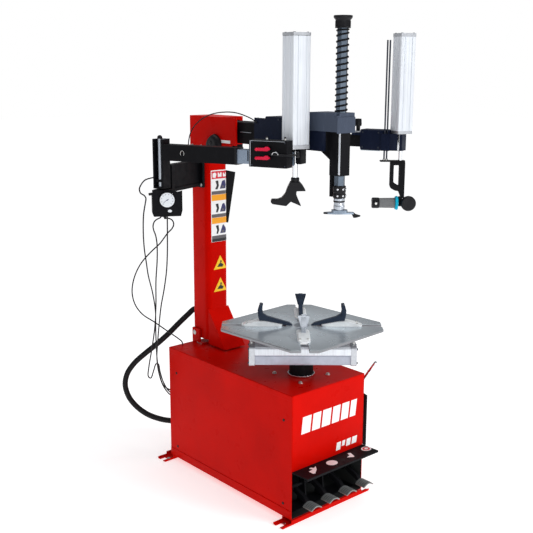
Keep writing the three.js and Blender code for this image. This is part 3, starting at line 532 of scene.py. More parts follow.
def hose(node, points, r, step=8, ribs=0.0):
    """A cord through given points, with every other ring drawn in by the depth of its ribs."""
    line = smooth_line(points, step)
    shape = Shape(node + "_hose", None)
    shape.rings(tube_rings(line, lambda i: r - ribs * (i % 2), 16 if r > 6 else 12))
    bmesh.ops.recalc_face_normals(shape.bm, faces=shape.bm.faces)
    obj = make_object(shape.name, shape.bm, [RUBBER])
    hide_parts(node)
    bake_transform(obj)


hose("column_conduit", CONDUIT, 14, 4, 0.9)
for node, points in (("air_tube_top", TOP_TUBE), ("air_tube_rear", REAR_TUBE),
                     ("air_tube_loop", LOOP_TUBE), ("air_tube_side", SIDE_TUBE)):
    hose(node, points, 3)
hose("air_tube_arm", ARM_TUBE, 2.5)


# ---------------------------------------------------------------- cabinet
LEFT_FACE, FRONT_FACE, REAR_FACE, TOP_FACE = -215, -15, 848, 572


def cabinet():
    """The sheet metal box, its fixings, vents and front bars."""
    # The sides that look into the cabinet are primed only.
    inward = {"left_side_cover": lambda n: n.x > 0.5, "front_panel": lambda n: n.y > 0.5,
              "rear_cover": lambda n: n.y < -0.5, "cabinet_floor": lambda n: n.z > 0.5}
    for node, bevel in (("cabinet_top", 1.2), ("left_side_cover", 1.2), ("front_panel", 1),
                        ("rear_cover", 1), ("cabinet_floor", 0.8), ("front_foot_rail", 1.2),
                        ("rear_foot_rail", 1.2)):
        faces_in = inward.get(node, lambda n: False)
        from_node(node, [RED, INSIDE], bevel, 3, pick=lambda c, n: faces_in(n))
    from_node("right_side_panel", [RED, RUBBER, INSIDE], 1.2, 3,
              pick=lambda c, n: 1 if c.x > 215.5 else 2 if n.x < -0.5 else 0)
    fixings = Shape("cabinet_fixings", "root").use(ZINC)
    for x in (-82, 82):
        for y in (78, 242):
            washer = TOP_FACE + 1.6
            fixings.turned([(0, TOP_FACE), (10, TOP_FACE), (10, washer), (0, washer)], x, y, 24)
            fixings.hexagon(x, y, washer, 13, 6)
    fixings.use(PLASTIC)
    for y in (36, 790):
        for z in (82, 455):
            fixings.rod((LEFT_FACE, y, z), (LEFT_FACE - 2.4, y, z), 6.5, 5, 24)
    fixings.use(ZINC)
    for x in (-232, 232):
        for y in (12, 848):
            fixings.turned([(0, 4.2), (9, 4.2), (9, 6), (0, 6)], x, y, 24)
    fixings.done(slot="grey_metal", bevel=0.3)
    lip = Shape("left_side_lip", "root").use(RED)
    lip.prism("x", rounded(-14, 846, 24, 62, 3), LEFT_FACE - 2.2, LEFT_FACE - 0.05)
    lip.prism("x", rounded(-14, 846, 548, 570.5, 3), LEFT_FACE - 1.6, LEFT_FACE - 0.05)
    lip.done(slot="red_paint", bevel=0.8)
    vents = Shape("rear_vents", "root").use(BLACK)
    for i in range(9):
        opening = rounded(-60, 100, 90 + 16 * i, 96 + 16 * i, 2.9)
        vents.prism("y", opening, REAR_FACE + 0.02, REAR_FACE + 0.5)
    vents.done(slot="black_steel", bevel=0)
    marks = Shape("front_marks", "root").use(WHITE_INK)
    front_bars(marks, -163, 466, 9, 11, [(w, 392) for w in (50, 46, 50, 44, 44, 36)])
    front_bars(marks, 46, 294, 5, 9, ((26, 258), (18, 270), (26, 262), (30, 262)))
    marks.done(slot="red_paint", bevel=0)


def front_bars(marks, x, top, lean, gap, bars):
    """A row of slanted bars on the cabinet front, from the width and foot height of each."""
    for width, foot in bars:
        outline = [(x, foot), (x + width, foot), (x + width + lean, top), (x + lean, top)]
        marks.prism("y", outline, FRONT_FACE - 0.35, FRONT_FACE - 0.02)
        x += width + gap


# ---------------------------------------------------------------- pedals
PEDALS = ("clamp_pedal", "column_tilt_pedal", "bead_breaker_pedal", "turntable_pedal")
COVER_REAR, COVER_REAR_Z = -15.3, 240
COVER_FRONT, COVER_FRONT_Z = -109, 243
SIGN_Y = -62


def on_cover(sign, lift, thick):
    """A flat sign that lies along the slope of the pedal cover."""
    rise = (COVER_FRONT_Z - COVER_REAR_Z) / (COVER_REAR - COVER_FRONT)
    lower = [(x, y, COVER_REAR_Z + (COVER_REAR - y) * rise + 0.25 + lift) for x, y in sign]
    return [lower, [(x, y, z + thick) for x, y, z in lower]]


def pedals():
    """Four pedals under their cover, with a sign for each."""
    from_node("pedal_cover", BLACK, 0.8, 2)
    from_node("pedal_bracket", BLACK, 0.8, 2)
    pedal_x = [joint_at(name + "_press")[0] for name in PEDALS]

    def disc(x, r):
        return [(x + r * math.cos(t), SIGN_Y + r * math.sin(t) * 0.9) for t in turns(28)]

    def arrow(points):
        return [(x, SIGN_Y + y) for x, y in points]

    signs = Shape("pedal_signs", "root").use(WHITE_INK)
    for outline in (arrow([(-160, -22), (-150, -26), (-118, -2), (-100, 24), (-118, 14), (-124, 26),
                           (-138, 24), (-132, 8), (-158, 4)]),
                    disc(pedal_x[1], 26),
                    arrow([(60, -6), (84, -22), (92, -20), (106, 16), (92, 22), (84, 2)]),
                    disc(pedal_x[3], 24)):
        signs.rings(on_cover(outline, 0, 0.3))
    signs.use(RED_INK).rings(on_cover(disc(pedal_x[3], 18), 0.35, 0.2))
    signs.use(WHITE_INK).rings(on_cover(disc(pedal_x[3], 9), 0.6, 0.2))
    signs.done(slot="black_steel", bevel=0)

    for name, x in zip(PEDALS, pedal_x):
        from_node(name, [BLACK, TREAD], 0.8, 2,
                  pick=lambda c, n: c.y < -25 and 60 < c.z < 88)
        grip = Shape(name + "_grip", name).use(GREY_PLASTIC)
        steps = [i / 12 for i in range(13)]
        crown = [(x - 26 + 52 * t, 75.3 + 12 * math.sin(math.pi * (0.08 + 0.84 * t))) for t in steps]
        rib = crown + [(u, v + 1.2) for u, v in reversed(crown)]
        for k in range(5):
            grip.prism("y", rib, -78 + 11 * k, -74 + 11 * k)
        grip.done(slot="grey_metal", bevel=0.3)


# ---------------------------------------------------------------- drive
def drive():
    """The motor and gearbox, and the cylinders that work the bead breaker and the tilt."""
    from_node("gearbox", IRON, 2.5, 3)
    from_node("motor", IRON, 2, 3)
    fins = Shape("motor_fins", "root").use(IRON)
    motor_y, motor_z = 440, 300
    for a in turns(20):
        c, s = math.cos(a), math.sin(a)
        # The motor has no fins underneath.
        if s >= -0.75:
            fin = [(67, -2), (74, -1.2), (74, 1.2), (67, 2)]
            fins.rings([[(x, motor_y + c * q - s * w, motor_z + s * q + c * w) for q, w in fin]
                        for x in (-100, 45)])
    fins.done(slot="cast", bevel=0.5)
    from_node("bead_breaker_cylinder", ALUMINIUM, 2, 3)
    from_node("tilt_cylinder", ALUMINIUM, 1.5, 3)


cabinet()
pedals()
drive()


# ---------------------------------------------------------------- turntable
TABLE = frame_matrix(*joint_at("turntable_spin")[:2], turn=heading("jaw_1_slide"))
TABLE_TOP = 792


def turntable():
    """The hub, the plate, the two cylinders under it and the four jaws."""
    hub = Shape("table_hub", "turntable", TABLE).use(BLACK)
    hub.turned([(26, 534), (26, 573), (56, 573), (56, 582), (52, 584), (52, 650), (40, 652), (40, 778.7)],
               sides=64)
    hub.use(CHROME).turned([(56.1, 574.5), (58.5, 575), (58.5, 580.5), (56.1, 581)], sides=64)
    hub.use(STEEL).turned([(52.1, 636), (53.2, 636.5), (53.2, 645), (52.1, 645.5)], sides=64)
    hub.done("turntable_hub", slot="black_steel", bevel=0.6)
    from_node("turntable_plate", [PLATE, RIM], 3.5, 4, pick=lambda c, n: n.z < 0.5)
    nut = Shape("table_nut", "turntable", TABLE).use(STEEL)
    nut.turned([(0, TABLE_TOP), (34, TABLE_TOP), (34, 793), (33.4, 793.6), (0, 793.6)], sides=48)
    nut.use(DARK_STEEL).turned([(0, 793.5), (7, 793.5), (7, 799), (5.5, 801), (0, 801)], sides=32)
    nut.done(slot="grey_metal", bevel=0.5)
    clamp_cylinder("front_clamp_cylinder", -110)
    clamp_cylinder("rear_clamp_cylinder", 110)
    for i in range(4):
        jaw(i)


def clamp_cylinder(node, v):
    """A long cylinder under the plate, which works one pair of jaws."""
    tube_end, cap_end, middle, top = 204, 224, 700, 743
    tube = Shape(node + "_finished", "turntable", TABLE).use(ALUMINIUM)
    upper = [(v - 38, 704), (v + 38, 704), (v + 40.5, 707), (v + 40.5, 732), (v + 33, 740),
             (v - 33, 740), (v - 40.5, 732), (v - 40.5, 707)]
    lower = [(v - 29, 660), (v + 29, 660), (v + 33, 667), (v + 38, 700), (v - 38, 700), (v - 33, 667)]
    core = [(v - 30, 664), (v + 30, 664), (v + 37, 705), (v - 37, 705)]
    # The lower part and the core of each tube take the darker copy of the aluminium: painted shade under the
    # tube.
    tube.prism("x", upper, -tube_end, tube_end).use(PAINTED_SHADE_ALU)
    tube.prism("x", lower, -tube_end, tube_end)
    tube.prism("x", core, -tube_end, tube_end).use(ALUMINIUM)
    for u in (-70, 70):
        tube.block((u - 22, u + 22), (v - 20, v + 20), (738, 778.7), 3)
    for s in (-1, 1):
        inner, outer = sorted((200 * s, cap_end * s))
        tube.use(CAP_ALU).prism("x", rounded(v - 42, v + 42, 657, top, 12, 6), inner, outer)
        end = cap_end * s
        tube.use(DARK_STEEL)
        for dv in (-30, 30):
            for z in (middle - 30, middle + 30):
                tube.rod((end, v + dv, z), (end + 5 * s, v + dv, z), 5, sides=20, round_by=1)
        tube.rod((end, v, middle), (end + 3 * s, v, middle), 14, round_by=1)
        tube.use(ZINC).rod((212 * s, v, top), (212 * s, v, top + 10), 6, sides=16, round_by=1)
    tube.done(node, slot="aluminium", bevel=1)


def grooved(half, r, width, depth, at):
    """A rounded square with two lengthwise grooves in every side, as an extruded cylinder tube has."""
    out = []
    # The corners in turn, and the side that follows each with the way into the tube.
    for a, (u, v), (along, inward) in (
            (0, (1, 1), ((-1, 0), (0, -1))), (90, (-1, 1), ((0, -1), (1, 0))),
            (180, (-1, -1), ((1, 0), (0, 1))), (270, (1, -1), ((0, 1), (-1, 0)))):
        arc = [rad(a + 15 * i) for i in range(7)]
        out += [(u * (half - r) + r * math.cos(t), v * (half - r) + r * math.sin(t)) for t in arc]
        for share in (at, 1 - at):
            m = share * 2 * half
            for step, down in ((-width / 2, 0), (-width / 2, depth), (width / 2, depth), (width / 2, 0)):
                out.append((u * half + along[0] * (m + step) + inward[0] * down,
                            v * half + along[1] * (m + step) + inward[1] * down))
    return out


def jaw(i):
    """One clamping jaw, drawn for the slot along local +X."""
    body = "jaw_%d" % (i + 1)
    top = TABLE_TOP + 7
    s = Shape(body + "_finished", body, TABLE @ frame_matrix(turn=90 * i)).use(JAW_STEEL)
    s.prism("z", rounded(84, 258, -27, 27, 20, 8), TABLE_TOP + 0.3, top)
    s.prism("y", [(84, top - 1), (250, top - 1), (246, top + 3), (192, top + 16), (158, top + 14),
                  (84, top)], -22, 22)
    s.block((118, 208), (-15, 15), (772, TABLE_TOP + 1), 2)
    s.use(ZINC)
    for v in (-16, 16):
        s.rod((236, v, top + 2), (236, v, top + 8), 5, sides=24, round_by=1)
    # The arm nearest the operator in the rest pose is worn down to bare steel.
    s.use(STEEL if i == 3 else JAW_BLUE)
    arm = [(40, top - 5), (90, top - 3), (158, top + 12), (182, top + 14), (188, top + 36),
           (190, top + 60), (184, 880), (172, 890), (166, 887), (171, 868), (166, top + 46),
           (148, top + 34), (54, top + 6)]
    s.prism("y", arm, -9, 9)
    s.prism("x", [(-12, top + 38), (12, top + 38), (25, 886), (-25, 886)], 170, 182)
    s.use(DARK_STEEL)
    for k in range(6):
        v = -20 + 8 * k
        s.prism("x", [(v - 1.5, 868), (v + 1.5, 868), (v + 1, 884), (v - 1, 884)], 168.6, 170.2)
    s.done(body, slot="grey_metal", bevel=1.4, segments=3)


# ---------------------------------------------------------------- bead breaker
def bead_breaker():
    """The swinging arm, its pull bar and the ribbed pad it works against."""
    from_node("bead_breaker_rod", CHROME, 0.8, 3)
    from_node("bead_breaker_hinge", RED, 1.5, 3)
    from_node("bead_breaker_arm", [BLACK, CHROME], 1.5, 3,
              pick=lambda c, n: c.z > 395 and c.y < 165 and c.x > 318)
    grip = Shape("breaker_grip", "breaker_arm").use(CHROME)
    a, b = Vector((327, 162, 388)), Vector((327, 20, 588))
    along = (b - a).normalized()
    grip.rod(a, b + along * 2, 7.4, sides=40, round_by=3)
    grip.rod(b - along * 70, b - along * 66, 9, sides=40, round_by=1)
    grip.done(slot="chrome", bevel=0)
    pad = Shape("breaker_pad_ribs", "root").use(RUBBER)
    for k in range(7):
        pad.block((236.8, 239), (72 + 26 * k, 84 + 26 * k), (128, 412), 1)
    pad.done(slot="black_steel", bevel=0.4)


# ---------------------------------------------------------------- column and head
def column():
    """The tilting column with its head, knob and fixings."""
    from_node("column_hinge", [RED, ZINC], 1.2, 3, pick=lambda c, n: abs(c.x) > 75.5)
    from_node("column", RED, 2.0, 4, sharp=28)
    from_node("column_head", RED, 2.5, 4)
    fixings = Shape("column_fixings", "column").use(RED)
    fixings.block((-63.6, -61.9), (759, 818), (1345, 1410), 1.5)
    fixings.block((-68, -66), (545, 640), (1520, 1542), 1.5)
    fixings.use(WHITE_INK).prism("x", rounded(560, 623, 1545, 1558, 2), -66.6, -66.05)
    fixings.use(ZINC)
    for y in (836, 770):
        fixings.rod((-66, y, 1520), (-68, y, 1520), 8, sides=24, round_by=0.5)
        fixings.rod((-68, y, 1520), (-73, y, 1520), 5.5, sides=6)
    fixings.use(BLACK).block((-58, 58), (857.05, 859.5), (1512, 1538), 1)
    fixings.done(slot="red_paint", bevel=0.6)
    knob = Shape("lock_knob", "column").use(PLASTIC)
    outline = [(-46, -30), (46, -30), (50, -8), (40, 16), (22, 30), (4, 36), (-16, 30), (-38, 12),
               (-50, -10)]
    steps = ((0, 1), (9, 1), (16, 0.93), (22, 0.78), (25, 0.55))
    knob.rings([[(-66 - h, 668 - u * k, 1546 + w * k) for u, w in outline] for h, k in steps])
    knob.rod((-90, 670, 1544), (-94, 670, 1544), 12, 8, sides=40, round_by=1.5)
    knob.done(slot="dark_plastic", bevel=0.8)


COLUMN_FRONT = 735


def corner_wrap(bm):
    """Wraps what lies beyond the column's flat front round its rounded right corner."""
    edge, radius = 36, 26
    for k in range(9):
        cut = Vector(((edge + 4 * k) * MM, 0, 0))
        bmesh.ops.bisect_plane(bm, geom=bm.verts[:] + bm.edges[:] + bm.faces[:], plane_co=cut,
                               plane_no=(1, 0, 0))
    for v in bm.verts:
        x, y = v.co.x / MM, v.co.y / MM
        if x > edge:
            a, r = (x - edge) / radius, radius + COLUMN_FRONT - y
            v.co.x = (edge + r * math.sin(a)) * MM
            v.co.y = (COLUMN_FRONT + radius - r * math.cos(a)) * MM


def labels():
    """Plain pictogram panels and two plain triangles, drawn with no lettering."""
    s = Shape("column_labels", "column")

    def put(ink, outline, level):
        """One printed patch, with each level standing just proud of the one below."""
        back = COLUMN_FRONT - 0.02 - 0.35 * (level - 1)
        s.use(ink).prism("y", outline, back - 0.43, back)

    x0, x1 = -40, 60
    put(WHITE_INK, rounded(x0, x1, 1073, 1410, 3), 1)
    put(RED_INK, rounded(x0 + 4, x1 - 2, 1370, 1405, 2), 2)
    put(WHITE_INK, [(-30, 1377), (-14, 1374), (-8, 1392), (-16, 1400), (-30, 1396)], 3)
    put(WHITE_INK, [(0, 1378), (22, 1378), (22, 1398), (14, 1398), (12, 1388), (4, 1398), (0, 1398)], 3)
    put(WHITE_INK, [(30, 1378), (50, 1378), (50, 1396), (44, 1396), (40, 1386), (34, 1396), (30, 1396)], 3)
    for k, z in enumerate((1318, 1210, 1108)):
        tool = [(-16 + 3 * k, 4), (-2, 2), (6, 20), (2, 44), (-14, 42), (-6, 22)]
        tire = [(12, 4), (44, 4), (50, 20), (42 - 5 * k, 44), (26, 40), (18, 20)]
        rim = [(20, 8), (38, 8), (34, 18), (24, 18)]
        for ink, outline, level in ((BLACK_INK, tool, 2), (NAVY_INK, tire, 2), (GREY_INK, rim, 3)):
            put(ink, [(x, z + w) for x, w in outline], level)
        put(GREY_INK, rounded(x0 + 3, x1, z - 21, z - 5, 1), 2)
        if k < 2:
            put(ORANGE_INK, rounded(x0 + 3, x1, z - 50, z - 22, 1), 2)
    put(BLACK_INK, rounded(x0 + 3, x1, 1074, 1088, 1), 3)
    for z in (940, 832):
        put(YELLOW_INK, [(-28, z), (50, z), (11, z + 66)], 1)
        put(BLACK_INK, [(-8, z + 12), (24, z + 9), (30, z + 20), (12, z + 30), (4, z + 26)], 2)
        put(BLACK_INK, [(10, z + 30), (18, z + 30), (20, z + 40), (12, z + 42)], 2)
    corner_wrap(s.bm)
    s.done(slot="red_paint", bevel=0)


# ---------------------------------------------------------------- brackets and gauge
GAUGE = frame_matrix(-332, 693, turn=-30)


def brackets():
    """What is bolted to the column for the two assist arms."""
    from_node("left_bracket", BLACK, 1.5, 3)
    from_node("right_bracket", BLACK, 1.5, 3)
    bolts = Shape("bracket_bolts", "column").use(ZINC)
    for y in (764, 836):
        for z in (1346, 1456):
            bolts.rod((-74, y, z), (-75.6, y, z), 9, sides=24)
            bolts.rod((-75.6, y, z), (-81, y, z), 6.5, sides=6)
    bolts.done(slot="grey_metal", bevel=0.4)

    from_node("gauge_box", BLACK, 2.5, 3)
    gauge()


def gauge():
    """The regulator's dial and fittings, drawn facing local -Y."""
    g = Shape("gauge", "column", GAUGE)
    cx, cz, r = 10, 1312, 33

    def mark(angle, outline, near, far):
        c, s = math.cos(rad(angle)), math.sin(rad(angle))
        g.rings([[(cx + c * u - s * w, y, cz + s * u + c * w) for u, w in outline] for y in (near, far)])

    g.use(BLACK).prism("y", [(-53, 1356), (-53, 1262), (-47, 1238), (70, 1238), (77, 1264), (77, 1350),
                             (60, 1346)], -34, -30.5)
    g.use(PLASTIC).rod((cx, -34, cz), (cx, -46, cz), r, sides=64, round_by=2)
    g.use(CHROME).rod((cx, -46, cz), (cx, -47.5, cz), r - 1.5, sides=64)
    g.use(DIAL).rod((cx, -47.5, cz), (cx, -48, cz), r - 3, sides=64)
    g.use(GREY_INK)
    for k in range(28):
        inner, wide = (25, 0.35) if k % 3 else (22, 0.8)
        mark(225 - 10 * k, [(inner, -wide), (27, -wide), (27, wide), (inner, wide)], -48.05, -48.25)
    g.use(NAVY_INK)
    mark(215, [(-7, -1.2), (22, -0.4), (22, 0.4), (-7, 1.2)], -48.4, -48.8)
    g.rod((cx, -48, cz), (cx, -50, cz), 2.6, sides=24, round_by=0.6)
    badge = [(22 + 9 * math.cos(t), 1262 + 6 * math.sin(t)) for t in turns(24)]
    g.use(DIAL).rings([[(x, y, z) for x, z in badge] for y in (-34, -36)])
    g.use(PLASTIC)
    for u, v in ((-9, 2), (13, 4), (-1, -20)):
        g.rod((u, v, 1238), (u, v, 1231), 5, sides=24, round_by=1)
    g.rod((-53, 6, 1333), (-66, 6, 1331), 6, sides=24, round_by=1)
    g.done(slot="dark_plastic", bevel=0.3)


# ---------------------------------------------------------------- main arm and spindle
SHAFT_Y = -45


def main_arm():
    """The sliding arm and the cover of its lock."""
    from_node("main_arm", [BLACK, NAVY], 2.0, 3,
              pick=lambda c, n: 239 < c.y < 416 and c.z > 1640)
    from_node("lock_cover", [SLATE, NAVY], 4.0, 4, pick=lambda c, n: n.x > 0.5)
    fixings_and_highlights = Shape("arm_fixings_and_painted_highlights", "main_arm").use(DARK_STEEL)
    for y in (264, 392):
        fixings_and_highlights.rod((-49, y, 1662), (-51, y, 1662), 4, sides=24, round_by=0.6)
    # The two thin aluminium strips beside the shaft's guide tube are painted highlights down the tube's
    # edge.
    fixings_and_highlights.use(ALUMINIUM).block((-28.4, -27), (-71.6, -63), (1460, 1622), 0.3)
    fixings_and_highlights.block((-15, -14), (-30, -24), (1545, 1620), 0.3)
    fixings_and_highlights.use(SLATE).block((-50, 50), (-75.5, -72.3), (1622, 1684), 1.2)
    fixings_and_highlights.use(NAVY).block((-48.5, -46), (238, 418), (1552, 1664), 1)
    fixings_and_highlights.block((-47.2, -46), (-10, 100), (1550, 1627), 1)
    fixings_and_highlights.use(STEEL).block((-47.4, -45.9), (440, 516), (1597, 1599), 0.4)
    fixings_and_highlights.done(slot="grey_metal", bevel=0.3)


def spring():
    """The return spring: closed at both ends and evenly open between them."""
    low, high, count, r, wire = 1704.0, 2013.8, 15, 22.2, 3.6
    at = [k / 28 for k in range(count * 28 + 1)]
    pitch = [max(0.18, min(1, t / 1.2, (count - t) / 1.2)) for t in at]
    z, line = low, []
    for t, step in zip(at, pitch):
        a = 2 * math.pi * t
        line.append((r * math.cos(a), SHAFT_Y + r * math.sin(a), z))
        z += (high - low) * step / sum(pitch)
    coil = Shape("spring_coil", "main_arm").use(BLACK)
    coil.sweep(line, wire, 12)
    obj = coil.done("spindle_spring", slot="spring_steel", bevel=0)
    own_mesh(obj)


def spindle():
    """The hexagonal shaft with its cap, holder and mounting head."""
    cap = Shape("cap_finished", "spindle").use(PLASTIC)
    cap.turned([(22.6, 2034), (22.6, 2018), (30, 2018), (30, 2021), (28.6, 2023), (28.6, 2046),
                (30.5, 2050), (36, 2056), (36.5, 2063), (35, 2065), (0, 2065)], 0, SHAFT_Y, 72)
    for a in turns(36):
        c, s = math.cos(a), math.sin(a)
        rib = [(28, -1.2), (30, -0.8), (30, 0.8), (28, 1.2)]
        cap.rings([[(c * q - s * w, SHAFT_Y + s * q + c * w, z) for q, w in rib] for z in (2023, 2045)])
    cap.done("shaft_cap", slot="dark_plastic", bevel=0.5)

    corner = 38 / math.sqrt(3)
    hexagon = [(corner * math.cos(t + rad(30)), SHAFT_Y + corner * math.sin(t + rad(30))) for t in turns(6)]
    shaft = Shape("shaft_finished", "spindle").use(BLUE_GREY).prism("z", hexagon, 1412, 2033.6)
    shaft.use(STEEL).turned([(20, 1318), (22.5, 1322), (22.5, 1334), (21, 1336), (21, 1350), (22.5, 1352),
                             (22.5, 1364), (20, 1366)], 0, SHAFT_Y, 64)
    shaft.use(PLASTIC).turned([(22.4, 1349), (23.1, 1350), (23.1, 1355), (22.4, 1356)], 0, SHAFT_Y, 64)
    shaft.turned([(20, 1366), (24, 1366), (26, 1368), (26, 1382), (24.6, 1384), (24.6, 1388), (26, 1390),
                  (26, 1412), (23, 1415)], 0, SHAFT_Y, 64)
    shaft.use(CHROME)

    def stud(a, z, inner, outer, r, **shape):
        c, s = math.cos(rad(a)), math.sin(rad(a))
        shaft.rod((inner * c, SHAFT_Y + inner * s, z), (outer * c, SHAFT_Y + outer * s, z), r, **shape)

    for a in (-150, -105, -60, 30):
        stud(a, 1376, 25.4, 29.4, 4.2, sides=6)
        stud(a, 1402, 25.4, 29.4, 4.2, sides=6)
    for a in (-120, 60):
        stud(a, 1343, 22, 24.5, 4.5, sides=24, round_by=0.8)
    shaft.done("hex_shaft", slot="grey_metal", bevel=0.8)
    from_node("duckhead", [TOOL_STEEL, PLASTIC], 1.6, 3,
              pick=lambda c, n: math.hypot(c.x, c.y - SHAFT_Y) > 52)


# ---------------------------------------------------------------- left assist arm
LEFT = frame_matrix(*joint_at("left_arm_swing")[:2], turn=heading("left_arm_reach"))
PRESS_REACH = 643.7
PRESS = LEFT @ frame_matrix(PRESS_REACH)


def in_place(place, point):
    """A point in millimetres, seen from a place on the machine."""
    return place.inverted() @ (point * MM) / MM


def corner_screws(shape, reach, top, r):
    """A screw head at each corner of a cylinder's end cap."""
    shape.use(DARK_STEEL)
    for u in (-reach, reach):
        for v in (-reach, reach):
            shape.rod((u, v, top), (u, v, top + 2), r, sides=20, round_by=0.6)


def left_arm():
    """The left assist arm, with its controls, cylinder and press foot."""
    from_node("left_beam", [BLACK, STEEL], 1.5, 3,
              pick=lambda c, n: (in_place(LEFT, c) - Vector((0, -9, c.z))).length < 10 and c.z > 1400)
    s = Shape("left_arm_trim", "left_arm", LEFT).use(PLASTIC)
    s.turned([(9.2, 1572), (11, 1573), (11, 1579), (9, 1584), (5, 1587), (0, 1588)], 0, -9, 40)
    s.use(STEEL).rod((0, -9, 1367), (0, -9, 1578), 9.4, sides=40)
    s.use(PLASTIC).prism("x", rounded(-31, 31, 1481, 1551, 4), 382, 390)
    loop = [rad(20 * k) for k in range(-2, 12)]
    s.use(ZINC).sweep([(128 + 9 * math.cos(t), -31.5, 1516 + 12 * math.sin(t)) for t in loop], 1.2)
    s.done(slot="black_steel", bevel=0.6)

    from_node("left_inner_tube", TUBE_BLUE, 1.5, 3)
    left_controls()
    left_cylinder()

    rod = Shape("press_rod_finished", "press_foot", PRESS).use(CHROME)
    rod.rod((0, 0, 1415), (0, 0, 1700), 11, sides=40)
    rod.use(PLASTIC).turned([(14, 1424), (17, 1427), (17, 1440), (14, 1443)], sides=40)
    rod.done(slot="chrome", bevel=0.4)
    from_node("bead_press_foot", PLASTIC, 3.0, 4, sharp=25)


def left_controls():
    """The valve box with its two levers and the carrying hook."""
    from_node("control_box", BLACK, 2.0, 3)
    box = Shape("control_trim", "left_slide", LEFT).use(STEEL)
    box.block((498, 501), (-111.2, -110), (1491, 1591), 0.4)
    box.block((501, 652), (-110.8, -110), (1590, 1591.6), 0.2)
    box.use(DARK_STEEL)
    for x in (508, 652):
        for z in (1496, 1586):
            box.rod((x, -110, z), (x, -111.4, z), 3, sides=20, round_by=0.6)
    box.use(BLACK).block((440, 443), (-27, -25.5), (1500, 1544), 0.5)
    for x in (560, 640):
        box.use(ZINC).rod((x, -84, 1594), (x, -84, 1602), 5, sides=24, round_by=0.8)
        box.use(PLASTIC).rod((x, -84, 1602), (x, -84, 1608), 4, sides=24, round_by=1)
    box.done(slot="dark_plastic", bevel=0.5)
    hook = Shape("carry_hook", "left_slide", LEFT).use(PLASTIC)
    bar = [(592, -120, 1543), (618, -124, 1541), (650, -122, 1540), (684, -112, 1541), (700, -96, 1543)]
    hook.sweep(smooth_line(bar, 3), 4, 16)
    hook.rod((700, -97, 1532), (700, -97, 1554), 7, round_by=2)
    hook.rod((600, -110, 1542), (600, -124, 1542), 5, sides=24)
    arc = [rad(15 * k) for k in range(13)]
    ring = [(618 + 13 * math.cos(t), -127, 1541 + 10 * math.sin(t)) for t in arc]
    hook.use(CHROME).sweep(ring, 1.6, 12)
    hook.done(slot="grey_metal", bevel=0)
    for name in ("press_valve", "lift_valve"):
        z = joint_at(name + "_tip")[2]
        lever = Shape(name + "_lever_finished", name + "_lever", LEFT).use(LEVER_RED)
        lever.prism("y", [(530, z - 3), (534, z - 6), (584, z - 6), (592, z - 2), (594, z + 3),
                          (586, z + 10), (578, z + 11), (570, z + 6), (534, z + 5)], -132, -121)
        lever.rod((540, -132, z - 1), (540, -136, z - 1), 6, 5, round_by=1.5)
        lever.use(PLASTIC).rod((584, -110.3, z), (584, -122, z), 8, round_by=0.8)
        lever.done(name + "_lever", slot="lever_red", bevel=1.6, segments=3)


def left_cylinder():
    """The grooved cylinder over the press foot, with its air line."""
    place = PRESS @ frame_matrix(turn=-30.1)
    c = Shape("left_cylinder_finished", "left_slide", place).use(ALUMINIUM)
    c.prism("z", grooved(41, 7, 3.4, 2.2, 0.26), 1572, 1990)
    c.use(CAP_ALU).prism("z", centred(43, 8), 1558, 1574)
    c.use(PLASTIC).prism("z", centred(40.4, 7), 1989, 1992)
    c.use(CAP_ALU).prism("z", centred(42, 8), 1991, 2003)
    corner_screws(c, 31, 2003, 4.6)
    c.use(CHROME).rod((-30, 18, 1999), (-30, 18, 2005), 5, sides=6)
    c.done(slot="aluminium", bevel=0.8)
    guard = Shape("left_cylinder_guard", "left_slide", PRESS).use(BLACK)
    guard.block((-58, -12), (-24, 24), (1545, 1562), 2)
    guard.block((14, 34), (-22, 30), (1498, 1560), 3)
    guard.done("left_cylinder", slot="aluminium", bevel=1)
    line = Shape("left_cylinder_line", "left_slide", place).use(PLASTIC)
    line.sweep(smooth_line([(-30, 18, 1998), (-36, 24, 2003), (-47, 30, 1996), (-46.5, 30, 1960),
                            (-46, 28, 1850), (-46, 24, 1720), (-47, 20, 1640), (-47, 10, 1600),
                            (-48, -6, 1583)], 8), 2.6, 12)
    line.done(slot="hose_rubber", bevel=0)


# ---------------------------------------------------------------- right assist arm
RIGHT = frame_matrix(*joint_at("right_arm_swing")[:2], turn=heading("right_arm_reach"))
TOOL_REACH = 830.8
TOOL_AXIS = RIGHT @ frame_matrix(TOOL_REACH)
TOOL = TOOL_AXIS @ frame_matrix(turn=heading("jaw_1_slide") - heading("right_arm_reach"))
ROLLER_Z = 1297


def right_arm():
    """The right assist arm, with its cylinder and roller tool."""
    from_node("right_beam", BLACK, 1.5, 3)
    from_node("right_carriage", [NAVY, PLASTIC], 2.0, 3, pick=lambda c, n: c.z > 1612.5)
    s = Shape("carriage_trim", "right_carriage", RIGHT).use(PLASTIC)
    s.turned([(6, 1602), (9, 1603), (9, 1622), (14.5, 1624), (15.5, 1632), (14.5, 1650), (11, 1655),
              (0, 1656)], 630, 0, 48)
    s.use(CAP_ALU).block((611, 657), (-31, 31), (1598, 1603), 1)
    s.use(DARK_STEEL)
    for x in (668, 742):
        for z in (1536, 1600):
            s.rod((x, -38, z), (x, -39.4, z), 4, sides=20, round_by=0.6)
    s.use(TUBE_BLUE).block((660, 750), (-38.8, -30), (1521.5, 1524.4), 0.5)
    s.use(CHROME).block((826.5, 834.5), (-28.6, -24), (1526, 1596), 0.6)
    s.done(slot="navy_paint", bevel=0.6)
    c = Shape("right_cylinder_finished", "right_carriage", TOOL_AXIS @ frame_matrix(turn=-39.3))
    c.use(ALUMINIUM).prism("z", grooved(36, 7, 3.2, 2.2, 0.26), 1610, 2000)
    c.use(CAP_ALU).prism("z", centred(36, 8), 1597.3, 1611)
    c.prism("z", centred(37, 8), 1999, 2014)
    corner_screws(c, 27, 2014, 4.4)
    c.done("right_cylinder", slot="aluminium", bevel=0.8)
    roller_tool()


